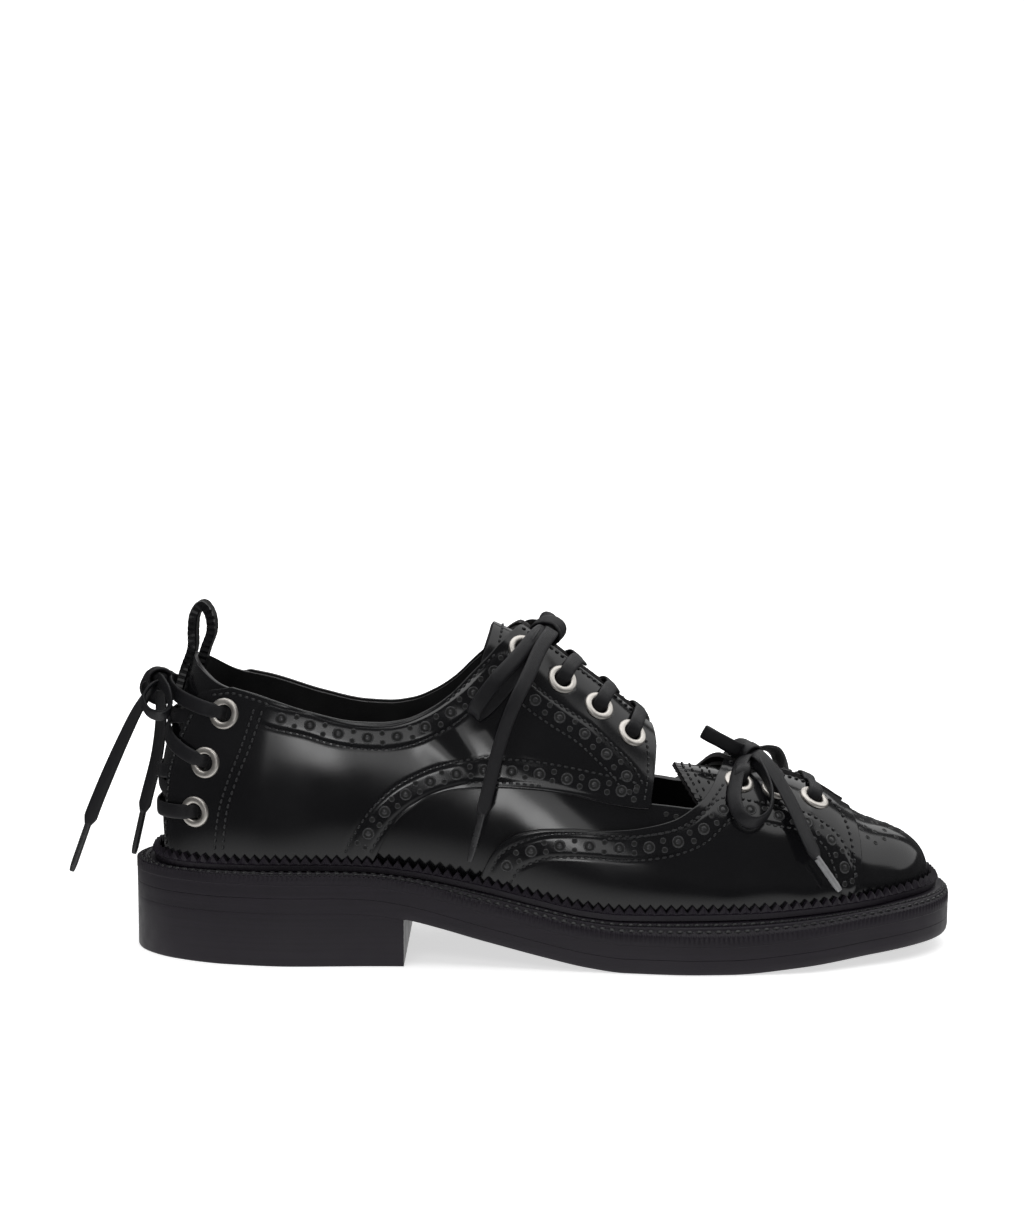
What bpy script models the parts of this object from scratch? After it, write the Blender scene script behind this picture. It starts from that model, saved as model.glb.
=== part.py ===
"""Cut-out brogue for a right foot, standing empty on its sole.

The toe points along +X, the lateral side faces -Y and the floor is z = 0. Sizes are in millimetres
and become metres where a mesh is made. One surface, the last, carries the upper: panels, tongues,
eyelets and laces are all placed on it or at a distance from it.
"""

import math
from collections import namedtuple

import bmesh
import bpy
import numpy as np

MM = 0.001
LATERAL = -1
MEDIAL = 1
SIDES = {"lateral": LATERAL, "medial": MEDIAL}
SMALL_STEP = 1e-3
HALVINGS = 28
SHARP_ANGLE = math.radians(40.0)

# Sole
SOLE_LENGTH = 280.0
OUTSOLE_THICK = 5.0
OUTSOLE_BEVEL = 1.4
MIDSOLE_THICK = 3.9
MIDSOLE_INSET = 0.5
WELT_THICK = 3.5
WELT_UNDER_UPPER = 7.0
WELT_SHOULDER = 4.6
HEEL_BREAST = -46.5
HEEL_FLARE = 0.6
SEAT_GAP = 0.3
RAND_FOOT = 0.2
RAND_HEIGHT = 4.8
RAND_THICK = 1.7
RAND_OFF_LAST = 2.6
RAND_OFF_TOE = 1.6
RAND_CLOSES_FROM = 106.0
RAND_CLOSES_TO = 120.0
RAND_END = 0.968
INSOLE_THICK = 2.6

# Upper
LAST_BACK = -130.0
LAST_LENGTH = 263.4
WALL = 1.8
PANEL_GAP = 0.5
PANEL_THICK = 1.3
PANEL_FOOT = 2.0
PANEL_OVERHANG = 0.6
THROAT_GAP = 15.0
THROAT_TOP = -30.0
THROAT_END = 35.2
VAMP_GAP = 13.0
VAMP_GAP_END = 97.0
LEAN_FADE_END = -58.0
SWELL_LOWERED = 0.6

SoleStation = namedtuple("SoleStation", "along half swing")
SOLE_PLAN = (
    SoleStation(0.000, 0.0, 0.0),
    SoleStation(0.020, 15.2, 0.0),
    SoleStation(0.060, 25.0, 0.0),
    SoleStation(0.130, 33.0, 0.0),
    SoleStation(0.200, 35.6, -0.3),
    SoleStation(0.290, 34.4, -1.0),
    SoleStation(0.360, 33.6, -2.2),
    SoleStation(0.430, 35.0, -3.0),
    SoleStation(0.570, 41.4, -2.4),
    SoleStation(0.680, 46.0, -1.4),
    SoleStation(0.790, 44.6, -0.4),
    SoleStation(0.890, 37.0, 2.6),
    SoleStation(0.955, 26.4, 3.0),
    SoleStation(0.985, 16.4, 2.8),
    SoleStation(1.000, 0.0, 2.8),
)

SolePoint = namedtuple("SolePoint", "x underside feather")
SOLE_SIDE = (
    SolePoint(-140.0, 17.8, 31.1),
    SolePoint(-70.0, 17.8, 31.1),
    SolePoint(-58.0, 17.3, 30.7),
    SolePoint(-46.5, 15.6, 29.5),
    SolePoint(-34.0, 12.6, 27.5),
    SolePoint(-20.0, 8.9, 24.7),
    SolePoint(0.0, 4.1, 20.4),
    SolePoint(14.0, 1.3, 17.7),
    SolePoint(26.0, 0.0, 16.7),
    SolePoint(60.0, 0.0, 17.0),
    SolePoint(85.0, 1.9, 18.0),
    SolePoint(112.0, 4.0, 19.2),
    SolePoint(140.0, 5.5, 21.0),
)

LastStation = namedtuple("LastStation", "x half swing rise square swell")
LAST_SECTIONS = (
    LastStation(-130.0, 0.0, 0.0, 105.0, 2.6, 0.0),
    LastStation(-128.0, 10.5, 0.0, 105.0, 2.6, 0.2),
    LastStation(-126.0, 14.6, 0.0, 105.0, 2.6, 0.5),
    LastStation(-122.0, 19.0, 0.0, 105.0, 2.6, 1.0),
    LastStation(-116.0, 22.4, 0.0, 105.0, 2.6, 1.6),
    LastStation(-106.0, 25.2, 0.0, 105.0, 2.6, 2.3),
    LastStation(-92.0, 26.6, -0.2, 105.0, 2.6, 2.8),
    LastStation(-66.0, 26.0, -1.0, 105.0, 2.5, 3.2),
    LastStation(-40.0, 25.2, -2.2, 100.0, 2.4, 3.2),
    LastStation(-20.0, 26.4, -2.9, 95.6, 2.2, 3.0),
    LastStation(-6.0, 28.8, -3.0, 89.2, 2.05, 2.8),
    LastStation(17.0, 33.2, -2.4, 75.2, 2.0, 2.6),
    LastStation(38.0, 36.0, -1.2, 58.7, 2.05, 2.4),
    LastStation(54.0, 36.8, -0.5, 49.6, 2.1, 2.2),
    LastStation(70.0, 36.6, 0.1, 43.3, 2.15, 2.2),
    LastStation(86.0, 34.2, 0.6, 38.6, 2.2, 2.0),
    LastStation(96.0, 31.4, 1.2, 33.6, 2.25, 1.8),
    LastStation(102.0, 29.2, 1.7, 29.4, 2.3, 1.7),
    LastStation(112.0, 24.8, 2.5, 23.4, 2.3, 1.5),
    LastStation(120.0, 20.4, 3.0, 20.1, 2.3, 1.2),
    LastStation(126.5, 15.6, 3.2, 16.3, 2.3, 0.9),
    LastStation(131.0, 9.6, 3.2, 11.2, 2.3, 0.5),
    LastStation(133.4, 0.0, 3.2, 0.0, 2.3, 0.0),
)

BackPoint = namedtuple("BackPoint", "rise forward")
BACK_CURVE = (
    BackPoint(0.0, 0.0),
    BackPoint(14.0, -0.7),
    BackPoint(29.0, -0.6),
    BackPoint(57.0, 6.8),
    BackPoint(70.0, 10.5),
    BackPoint(100.0, 20.0),
)

# Edges of the upper as seen from the side
EdgePoint = namedtuple("EdgePoint", "x z")
COLLAR_EDGE = (
    EdgePoint(-121.0, 101.6),
    EdgePoint(-116.0, 97.6),
    EdgePoint(-108.0, 92.4),
    EdgePoint(-95.0, 88.8),
    EdgePoint(-78.0, 83.4),
    EdgePoint(-62.0, 80.1),
    EdgePoint(-54.0, 79.8),
    EdgePoint(-46.0, 80.9),
    EdgePoint(-38.0, 84.2),
    EdgePoint(-31.0, 88.9),
    EdgePoint(-24.5, 95.3),
    EdgePoint(-19.0, 100.5),
    EdgePoint(-14.0, 105.8),
    EdgePoint(-9.0, 109.4),
    EdgePoint(-3.0, 110.8),
    EdgePoint(4.0, 111.0),
)
CUT_OUT_EDGE = (
    EdgePoint(35.2, 54.0),
    EdgePoint(43.0, 53.0),
    EdgePoint(49.0, 52.2),
    EdgePoint(53.6, 53.4),
    EdgePoint(57.2, 57.4),
    EdgePoint(60.0, 60.4),
    EdgePoint(66.0, 62.0),
)

QUARTER_CORNERS = (
    EdgePoint(-118.0, 83.0),
    EdgePoint(-115.5, 87.0),
    EdgePoint(-112.0, 89.6),
    EdgePoint(-106.0, 90.8),
    EdgePoint(-96.0, 93.0),
    EdgePoint(-60.0, 120.0),
    EdgePoint(4.0, 120.0),
    EdgePoint(27.0, 92.0),
    EdgePoint(32.0, 81.6),
    EdgePoint(34.8, 78.0),
    EdgePoint(36.4, 74.0),
    EdgePoint(36.9, 70.5),
)
QUARTER_ARCH = (
    EdgePoint(-59.0, 26.0),
    EdgePoint(-57.4, 32.0),
    EdgePoint(-55.5, 36.5),
    EdgePoint(-49.0, 47.6),
    EdgePoint(-44.0, 52.0),
    EdgePoint(-37.0, 56.2),
    EdgePoint(-29.0, 58.2),
    EdgePoint(-15.0, 58.9),
    EdgePoint(-4.0, 58.4),
    EdgePoint(8.5, 56.9),
    EdgePoint(21.0, 54.0),
    EdgePoint(34.0, 52.2),
    EdgePoint(35.3, 58.0),
    EdgePoint(36.3, 65.0),
    EdgePoint(36.9, 70.3),
)
VAMP_WING = (
    EdgePoint(-24.0, 25.5),
    EdgePoint(-20.6, 30.7),
    EdgePoint(-18.0, 36.0),
    EdgePoint(-14.0, 41.0),
    EdgePoint(-7.2, 44.6),
    EdgePoint(0.5, 45.9),
    EdgePoint(9.0, 46.1),
    EdgePoint(20.0, 45.6),
    EdgePoint(27.0, 45.8),
    EdgePoint(34.0, 46.6),
    EdgePoint(42.0, 48.3),
    EdgePoint(49.0, 51.8),
    EdgePoint(52.7, 54.4),
    EdgePoint(56.0, 58.0),
    EdgePoint(58.4, 61.2),
    EdgePoint(61.0, 63.2),
    EdgePoint(70.0, 66.0),
    EdgePoint(92.0, 58.0),
    EdgePoint(96.5, 54.2),
    EdgePoint(101.0, 50.6),
    EdgePoint(103.2, 47.6),
    EdgePoint(104.5, 43.8),
    EdgePoint(105.0, 39.0),
)

# Column places of the panels, at the foot and at the top
PanelColumn = namedtuple("PanelColumn", "foot top")
QUARTER_COLUMNS = (
    PanelColumn(-126.6, -121.4),
    PanelColumn(-123.6, -118.4),
    PanelColumn(-119.0, -115.0),
    PanelColumn(-112.5, -110.5),
    PanelColumn(-104.0, -103.4),
) + tuple(PanelColumn(x, x) for x in (
    -93.0, -76.0, -60.0, -57.4, -54.5, -49.0, -43.0, -35.0, -26.0, -19.0, -13.0, -7.0, 0.0, 10.0, 20.0,
    28.0, 32.0, 34.0, 35.6, 36.9))
VAMP_COLUMNS = tuple(PanelColumn(x, x) for x in (
    -21.6, -20.4, -18.0, -14.0, -7.0, 3.0, 14.0, 25.0, 35.0, 43.0, 49.0, 53.0, 56.5, 60.0, 67.0, 76.0,
    85.0, 93.0, 98.0, 101.0, 102.6, 103.6, 104.2, 104.6, 104.9, 105.0))
QUARTER_ROWS = 7
VAMP_ROWS = 7

SECTION_ROWS = 6
LAST_COLUMNS = 26
SOLE_COLUMNS = 28
RAND_COLUMNS = 34
EXTRA_COLUMNS = (-50.0, -28.0, -20.0, -14.0, -9.0, -3.0, 34.8, 35.6, 43.0, 49.0, 53.6, 57.2, 60.0,
                 VAMP_GAP_END - 0.2, VAMP_GAP_END + 0.4, 101.0, 105.0)

# Tongues
TONGUE_THICK = 1.6
TONGUE_COLUMNS = 8
TONGUE_ROWS = 4
TONGUE_DEPTH = 2.8
TONGUE_TIP_DEPTH = 6.0
TONGUE_TIP = -16.4
TONGUE_FRONT = 35.0
TONGUE_HALF = 21.0
VAMP_TONGUE_DEPTH = 3.2
VAMP_TONGUE_TIP = 47.7
VAMP_TONGUE_FLARE = 58.0
VAMP_TONGUE_CORNER = 5.5
VAMP_TONGUE_FRONT = 96.0
VAMP_TONGUE_HALF = 26.0

# Eyelets
EYELET_SEGMENTS = 8
EYELET_CUT = 3.4
EYELET_CUT_DEPTH = 7.0
RingPoint = namedtuple("RingPoint", "radius height")
EYELET_PROFILE = (
    RingPoint(2.9, -1.5),
    RingPoint(3.1, 0.3),
    RingPoint(5.2, 0.3),
    RingPoint(4.7, 1.0),
    RingPoint(2.9, 1.1),
)
EyeletPlace = namedtuple("EyeletPlace", "group x z")
EYELETS = (
    EyeletPlace("throat", -7.0, 103.5),
    EyeletPlace("throat", 6.0, 93.5),
    EyeletPlace("throat", 18.3, 84.6),
    EyeletPlace("throat", 29.3, 75.7),
    EyeletPlace("vamp", 65.3, 59.0),
    EyeletPlace("vamp", 78.0, 56.3),
    EyeletPlace("vamp", 91.0, 53.0),
    EyeletPlace("heel", -106.0, 83.0),
    EyeletPlace("heel", -112.4, 66.7),
    EyeletPlace("heel", -116.2, 50.0),
)

# Pull loop
LOOP_WIDTH = 9.0
LOOP_THICK = 1.8
LOOP_ROUTE = (
    EdgePoint(-124.9, 87.0),
    EdgePoint(-122.6, 95.0),
    EdgePoint(-120.8, 102.0),
    EdgePoint(-120.4, 108.5),
    EdgePoint(-119.4, 114.5),
    EdgePoint(-116.4, 117.6),
    EdgePoint(-113.2, 114.8),
    EdgePoint(-112.8, 108.5),
    EdgePoint(-114.4, 102.0),
    EdgePoint(-117.2, 95.0),
    EdgePoint(-119.6, 87.0),
)

# Laces: flat bars and crossings on the shoe, round cords for knots, loops and ends
LACE_WIDTH = 4.6
LACE_THICK = 1.2
LACE_STEPS = 5
LACE_OVER_EYELET = 3.8
LACE_OVER_BASE = 0.8
LACE_OVER_LACE = 0.7
CORD_THICK = 3.0
CORD_SPACING = 9.0
LaceBar = namedtuple("LaceBar", "name group eyelet middle_x middle_z lift")
LACE_BARS = (
    LaceBar("throat_lace_bar_1", "throat", 2, 12.0, None, LACE_OVER_EYELET),
    LaceBar("throat_lace_bar_2", "throat", 3, 23.3, None, LACE_OVER_EYELET),
    LaceBar("throat_lace_bar_3", "throat", 4, 33.0, None, LACE_OVER_EYELET),
    LaceBar("vamp_lace_bar_1", "vamp", 2, 79.0, None, LACE_OVER_EYELET),
    LaceBar("vamp_lace_bar_2", "vamp", 3, 91.5, None, LACE_OVER_EYELET),
    LaceBar("heel_lace_bar_1", "heel", 3, LAST_BACK, 48.8, LACE_OVER_BASE),
    LaceBar("heel_lace_bar_2", "heel", 1, LAST_BACK, 89.5, LACE_OVER_EYELET),
)
LaceCross = namedtuple("LaceCross", "name low_x low_z low_lift middle_z high_x high_z")
LACE_CROSSES = (
    LaceCross("heel_lace_cross_lower", -129.0, 55.8, LACE_OVER_BASE, 60.5, -128.0, 63.0),
    LaceCross("heel_lace_cross_upper", -112.4, 66.7, LACE_OVER_EYELET, 79.0, -122.8, 80.5),
)
CordPoint = namedtuple("CordPoint", "x y z")
LaceCord = namedtuple("LaceCord", "name thick route")
LACE_CORDS = (
    LaceCord("throat_lace_knot", 8.0, (
        CordPoint(1.6, -5.0, 108.1),
        CordPoint(1.6, 2.4, 108.1),
    )),
    LaceCord("throat_lace_loop_near", CORD_THICK, (
        CordPoint(-0.6, -5.4, 109.4),
        CordPoint(-2.4, -12.5, 110.0),
        CordPoint(-7.0, -24.0, 104.0),
        CordPoint(-13.5, -29.5, 95.5),
        CordPoint(-20.0, -30.0, 88.0),
        CordPoint(-23.0, -31.0, 83.6),
        CordPoint(-17.5, -31.5, 83.0),
        CordPoint(-11.0, -31.0, 87.0),
        CordPoint(-5.5, -27.5, 93.5),
        CordPoint(-1.0, -19.5, 101.0),
    )),
    LaceCord("throat_lace_end_near", CORD_THICK, (
        CordPoint(3.6, -5.4, 108.2),
        CordPoint(3.0, -10.5, 108.6),
        CordPoint(0.4, -20.0, 105.0),
        CordPoint(-4.5, -30.0, 98.5),
        CordPoint(-10.0, -35.5, 88.0),
        CordPoint(-15.0, -35.6, 76.0),
        CordPoint(-18.6, -37.0, 64.5),
        CordPoint(-21.4, -38.0, 51.5),
        CordPoint(-25.6, -38.0, 33.8),
    )),
    LaceCord("throat_lace_loop_far", CORD_THICK, (
        CordPoint(-0.6, 2.8, 109.4),
        CordPoint(-2.4, 9.5, 110.0),
        CordPoint(-8.0, 21.5, 104.0),
        CordPoint(-14.5, 26.5, 95.5),
        CordPoint(-17.0, 27.0, 88.0),
        CordPoint(-11.5, 28.0, 88.0),
        CordPoint(-5.5, 24.0, 93.5),
        CordPoint(-1.0, 16.5, 101.0),
    )),
    LaceCord("throat_lace_end_far", CORD_THICK, (
        CordPoint(3.6, 2.8, 108.2),
        CordPoint(3.0, 8.5, 108.6),
        CordPoint(2.5, 18.5, 104.5),
        CordPoint(1.0, 27.5, 96.5),
        CordPoint(-2.0, 32.5, 85.5),
        CordPoint(-5.0, 34.0, 72.0),
        CordPoint(-7.5, 36.5, 58.0),
        CordPoint(-10.0, 37.5, 46.0),
    )),
    LaceCord("vamp_lace_knot", 6.4, (
        CordPoint(70.6, -4.4, 65.5),
        CordPoint(70.6, 4.8, 65.5),
    )),
    LaceCord("vamp_lace_loop_rear", CORD_THICK, (
        CordPoint(66.8, -2.2, 67.4),
        CordPoint(60.6, -3.0, 71.2),
        CordPoint(55.6, -1.0, 73.2),
        CordPoint(53.6, 1.6, 70.8),
        CordPoint(59.0, 2.6, 67.4),
        CordPoint(66.6, 2.4, 65.4),
    )),
    LaceCord("vamp_lace_loop_near", CORD_THICK, (
        CordPoint(68.8, -4.9, 65.4),
        CordPoint(68.0, -9.5, 66.6),
        CordPoint(65.2, -20.0, 63.6),
        CordPoint(62.8, -29.0, 57.2),
        CordPoint(64.4, -33.5, 50.8),
        CordPoint(69.8, -34.5, 47.4),
        CordPoint(75.0, -30.0, 52.0),
        CordPoint(74.6, -21.5, 58.6),
        CordPoint(71.4, -12.0, 64.0),
    )),
    LaceCord("vamp_lace_end_near", CORD_THICK, (
        CordPoint(72.4, -5.6, 66.2),
        CordPoint(74.6, -9.0, 66.8),
        CordPoint(77.6, -16.5, 63.8),
        CordPoint(80.6, -26.0, 56.4),
        CordPoint(84.0, -34.0, 47.8),
        CordPoint(88.6, -39.5, 37.5),
        CordPoint(96.4, -40.5, 26.6),
    )),
    LaceCord("vamp_lace_end_far", CORD_THICK, (
        CordPoint(72.4, 6.0, 66.0),
        CordPoint(80.0, 12.5, 65.6),
        CordPoint(84.4, 21.0, 60.6),
        CordPoint(86.5, 29.5, 54.0),
        CordPoint(87.0, 37.0, 44.5),
        CordPoint(87.0, 41.0, 34.5),
    )),
    LaceCord("heel_lace_knot", 6.4, (
        CordPoint(-131.1, -4.6, 91.4),
        CordPoint(-131.1, 5.6, 91.4),
    )),
    LaceCord("heel_lace_loop_near", CORD_THICK, (
        CordPoint(-132.6, -6.5, 91.0),
        CordPoint(-135.4, -8.6, 85.2),
        CordPoint(-131.6, -11.6, 80.6),
        CordPoint(-126.0, -15.4, 83.2),
        CordPoint(-125.4, -16.0, 88.2),
        CordPoint(-128.4, -11.0, 91.4),
    )),
    LaceCord("heel_lace_loop_far", CORD_THICK, (
        CordPoint(-132.4, 7.3, 92.0),
        CordPoint(-138.6, 10.6, 90.0),
        CordPoint(-138.2, 14.6, 84.6),
        CordPoint(-132.6, 18.6, 81.6),
        CordPoint(-128.4, 17.6, 86.0),
        CordPoint(-129.4, 11.6, 90.6),
    )),
    LaceCord("heel_lace_end_near", CORD_THICK, (
        CordPoint(-133.4, -2.0, 88.2),
        CordPoint(-141.2, -5.0, 76.6),
        CordPoint(-147.8, -7.0, 60.6),
        CordPoint(-155.4, -8.0, 41.8),
        CordPoint(-161.0, -8.0, 26.4),
    )),
    LaceCord("heel_lace_end_far", CORD_THICK, (
        CordPoint(-131.6, 3.2, 87.6),
        CordPoint(-132.4, 7.6, 77.0),
        CordPoint(-134.4, 10.0, 63.0),
        CordPoint(-138.3, 10.0, 49.4),
        CordPoint(-139.8, 10.0, 42.1),
        CordPoint(-143.0, 10.0, 28.6),
    )),
)

Finish = namedtuple("Finish", "colour rough metal")
FINISHES = {
    "sole_edge": Finish((0.030, 0.027, 0.033), 0.5, 0.0),
    "leather": Finish((0.008, 0.008, 0.009), 0.2, 0.0),
    "lining": Finish((0.012, 0.012, 0.013), 0.6, 0.0),
    "nickel": Finish((0.62, 0.60, 0.57), 0.3, 1.0),
    "lace": Finish((0.020, 0.020, 0.023), 0.6, 0.0),
}


def smooth_curve(places, values):
    """Curve through a table that never overshoots a flat stretch."""
    places = np.asarray(places, float)
    values = np.asarray(values, float)
    steps = np.diff(places)
    slopes = np.diff(values) / steps
    tangents = np.zeros(len(places))
    tangents[0] = slopes[0]
    tangents[-1] = slopes[-1]
    for k in range(1, len(places) - 1):
        before, after = slopes[k - 1], slopes[k]
        if before * after > 0.0:
            heavy = 2.0 * steps[k] + steps[k - 1]
            light = steps[k] + 2.0 * steps[k - 1]
            tangents[k] = (heavy + light) / (heavy / before + light / after)

    def value_at(place):
        place = min(max(place, places[0]), places[-1])
        k = min(max(int(np.searchsorted(places, place)) - 1, 0), len(steps) - 1)
        share = (place - places[k]) / steps[k]
        rest = 1.0 - share
        start = values[k] * (1.0 + 2.0 * share) + tangents[k] * steps[k] * share
        end = values[k + 1] * (1.0 + 2.0 * rest) - tangents[k + 1] * steps[k] * rest
        return float(start * rest * rest + end * share * share)

    return value_at


def station_of(along):
    """Station 0..1, close-set at both ends, of a share of the length."""
    return math.acos(1.0 - 2.0 * min(max(along, 0.0), 1.0)) / math.pi


def along_of(station):
    return (1.0 - math.cos(math.pi * station)) / 2.0


def last_station(x):
    return station_of((x - LAST_BACK) / LAST_LENGTH)


def sole_station(x):
    return station_of(x / SOLE_LENGTH + 0.5)


def table_curve(rows, column, place):
    return smooth_curve([place(row) for row in rows], [getattr(row, column) for row in rows])


SOLE_HALF = table_curve(SOLE_PLAN, "half", lambda row: station_of(row.along))
SOLE_SWING = table_curve(SOLE_PLAN, "swing", lambda row: station_of(row.along))
UNDERSIDE = table_curve(SOLE_SIDE, "underside", lambda row: row.x)
FEATHER = table_curve(SOLE_SIDE, "feather", lambda row: row.x)
LAST = {
    column: table_curve(LAST_SECTIONS, column, lambda row: last_station(row.x))
    for column in ("half", "swing", "rise", "square", "swell")
}
BACK_FORWARD = table_curve(BACK_CURVE, "forward", lambda row: row.rise)
COLLAR = table_curve(COLLAR_EDGE, "z", lambda row: row.x)
CUT_OUT = table_curve(CUT_OUT_EDGE, "z", lambda row: row.x)
CORNERS = table_curve(QUARTER_CORNERS, "z", lambda row: row.x)
ARCH = table_curve(QUARTER_ARCH, "z", lambda row: row.x)
WING = table_curve(VAMP_WING, "z", lambda row: row.x)

MIDSOLE_FOOT = OUTSOLE_THICK + SEAT_GAP
WELT_FOOT = MIDSOLE_FOOT + MIDSOLE_THICK + SEAT_GAP
WELT_TOP = WELT_FOOT + WELT_THICK


def swing_centre():
    """Middle of the sole's width, which is laid on y = 0."""
    stations = np.linspace(0.0, 1.0, 400)
    low = min(SOLE_SWING(s) - SOLE_HALF(s) for s in stations)
    high = max(SOLE_SWING(s) + SOLE_HALF(s) for s in stations)
    return (low + high) / 2.0


CENTRE = swing_centre()


def sole_edge(station, side, inset=0.0):
    """Point of the sole's outline, moved inwards by inset."""

    def edge(s):
        x = SOLE_LENGTH * (along_of(s) - 0.5)
        return np.array([x, SOLE_SWING(s) - CENTRE + side * SOLE_HALF(s)])

    return inset_point(edge, station, side, inset)


def feather_edge(station, side, inset=0.0):
    """Point of the line where the upper meets the welt, moved inwards by inset."""

    def edge(s):
        x = LAST_BACK + LAST_LENGTH * along_of(s)
        return np.array([x, LAST["swing"](s) - CENTRE + side * LAST["half"](s)])

    return inset_point(edge, station, side, inset)


def inset_point(edge, station, side, inset):
    place = edge(station)
    if inset == 0.0:
        return place
    run = edge(min(station + SMALL_STEP, 1.0)) - edge(max(station - SMALL_STEP, 0.0))
    if station in (0.0, 1.0):
        run = np.array([0.0, side if station == 0.0 else -side])
    inward = np.array([run[1], -run[0]]) * side / np.linalg.norm(run)
    return place + inset * inward


def last_point(station, turn, side):
    """Point of the last: turn runs from 0 at the feather line to 1 on the ridge."""
    x = LAST_BACK + LAST_LENGTH * along_of(station)
    power = 2.0 / LAST["square"](station)
    angle = turn * math.pi / 2.0
    out = max(math.cos(angle), 0.0) ** power
    up = math.sin(angle) ** power
    rise = LAST["rise"](station) * up
    swell = LAST["swell"](station) * math.sin(math.pi * up ** SWELL_LOWERED)
    y = LAST["swing"](station) - CENTRE + side * (LAST["half"](station) * out + swell)
    fade = min(max((LEAN_FADE_END - x) / (LEAN_FADE_END - LAST_BACK), 0.0), 1.0)
    fade = fade * fade * (3.0 - 2.0 * fade)
    return np.array([x + BACK_FORWARD(rise) * fade, y, FEATHER(x) + rise])


def last_normal(station, turn, side):
    """Outward direction of the last; on the centre line both sides share it."""
    step = SMALL_STEP
    s = min(max(station, 2.0 * step), 1.0 - 2.0 * step)
    t = min(max(turn, 2.0 * step), 1.0 - 2.0 * step)

    def one_side(which):
        along = last_point(s + step, t, which) - last_point(s - step, t, which)
        upward = last_point(s, t + step, which) - last_point(s, t - step, which)
        normal = -which * np.cross(along, upward)
        return normal / np.linalg.norm(normal)

    if station in (0.0, 1.0) or turn == 1.0:
        both = one_side(LATERAL) + one_side(MEDIAL)
        return both / np.linalg.norm(both)
    return one_side(side)


def off_last(station, turn, side, distance):
    return last_point(station, turn, side) + distance * last_normal(station, turn, side)


def turn_where(station, reached):
    """First turn, found by halving, at which reached(point) becomes true."""
    if not reached(last_point(station, 1.0, LATERAL)):
        return 1.0
    low, high = 0.0, 1.0
    for _ in range(HALVINGS):
        middle = (low + high) / 2.0
        if reached(last_point(station, middle, LATERAL)):
            high = middle
        else:
            low = middle
    return high


def turn_at_height(station, z):
    return turn_where(station, lambda point: point[2] >= z)


def turn_at_edge(station, edge):
    return turn_where(station, lambda point: point[2] >= edge(point[0]))


def turn_at_gap(station, gap):
    """Turn at which the wall stands half a gap from the centre line."""
    middle = LAST["swing"](station) - CENTRE
    return turn_where(station, lambda point: point[1] >= middle - gap / 2.0)


def new_material(name, finish):
    material = bpy.data.materials.new(name)
    material.use_nodes = True
    shader = material.node_tree.nodes["Principled BSDF"]
    shader.inputs["Base Color"].default_value = (*finish.colour, 1.0)
    shader.inputs["Roughness"].default_value = finish.rough
    shader.inputs["Metallic"].default_value = finish.metal
    return material


def new_solid(name, points, faces, finish, smooth=True):
    """Object made of one closed body; points that coincide are joined."""
    places = {}
    first = []
    kept = []
    for point in points:
        key = tuple(np.round(point, 4))
        if key not in places:
            places[key] = len(kept)
            kept.append(point)
        first.append(places[key])
    mesh = bpy.data.meshes.new(name)
    body = bmesh.new()
    corners = [body.verts.new(np.asarray(point) * MM) for point in kept]
    for face in faces:
        ring = []
        for index in face:
            if first[index] not in ring:
                ring.append(first[index])
        if len(ring) > 2:
            body.faces.new([corners[index] for index in ring])
    bmesh.ops.recalc_face_normals(body, faces=body.faces)
    if body.calc_volume(signed=True) < 0.0:
        bmesh.ops.reverse_faces(body, faces=body.faces)
    body.to_mesh(mesh)
    body.free()
    if smooth:
        mesh.shade_smooth()
        mesh.set_sharp_from_angle(angle=SHARP_ANGLE)
    solid = bpy.data.objects.new(name, mesh)
    solid.data.materials.append(new_material(name, FINISHES[finish]))
    bpy.context.collection.objects.link(solid)
    return solid


def grid_faces(columns, rows, start=0, closed=False):
    faces = []
    for i in range(columns if closed else columns - 1):
        for j in range(rows - 1):
            near = start + i * rows + j
            far = start + ((i + 1) % columns) * rows + j
            faces.append((near, far, far + 1, near + 1))
    return faces


def sheet_solid(name, outer, inner, faces, finish):
    """Body between two like-numbered sheets, walled in along their open edges."""
    places = {}
    first = []
    for k, point in enumerate(outer):
        first.append(places.setdefault(tuple(np.round(point, 4)), k))
    joined = []
    for face in faces:
        ring = []
        for index in face:
            if first[index] not in ring:
                ring.append(first[index])
        if len(ring) > 2:
            joined.append(ring)
    uses = {}
    for ring in joined:
        for a, b in zip(ring, ring[1:] + ring[:1]):
            uses.setdefault(frozenset((a, b)), []).append((a, b))
    count = len(outer)
    bodies = [tuple(ring) for ring in joined]
    bodies += [tuple(index + count for index in reversed(ring)) for ring in joined]
    for runs in uses.values():
        if len(runs) == 1:
            a, b = runs[0]
            bodies.append((b, a, a + count, b + count))
    points = list(outer) + [inner[first[k]] for k in range(count)]
    return new_solid(name, points, bodies, finish)


def slab(name, edge, stations, layers, finish):
    """Body of stacked outlines; each layer has an inset and a height above the sole's underside."""
    points = []
    ring = 2 * len(stations)
    for inset, height in layers:
        for side, order in ((LATERAL, stations), (MEDIAL, stations[::-1])):
            for s in order:
                x, y = edge(s, side, inset)
                points.append((x, y, height(x)))
    faces = []
    for k in range(len(layers) - 1):
        for i in range(ring):
            a, b = k * ring + i, k * ring + (i + 1) % ring
            faces.append((a, b, b + ring, a + ring))
    top = (len(layers) - 1) * ring
    for start in (0, top):
        for i in range(len(stations) - 1):
            far = ring - 1 - i
            faces.append((start + i, start + i + 1, start + far - 1, start + far))
    return new_solid(name, points, faces, finish)


def above_underside(rise):
    return lambda x: UNDERSIDE(x) + rise


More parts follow.
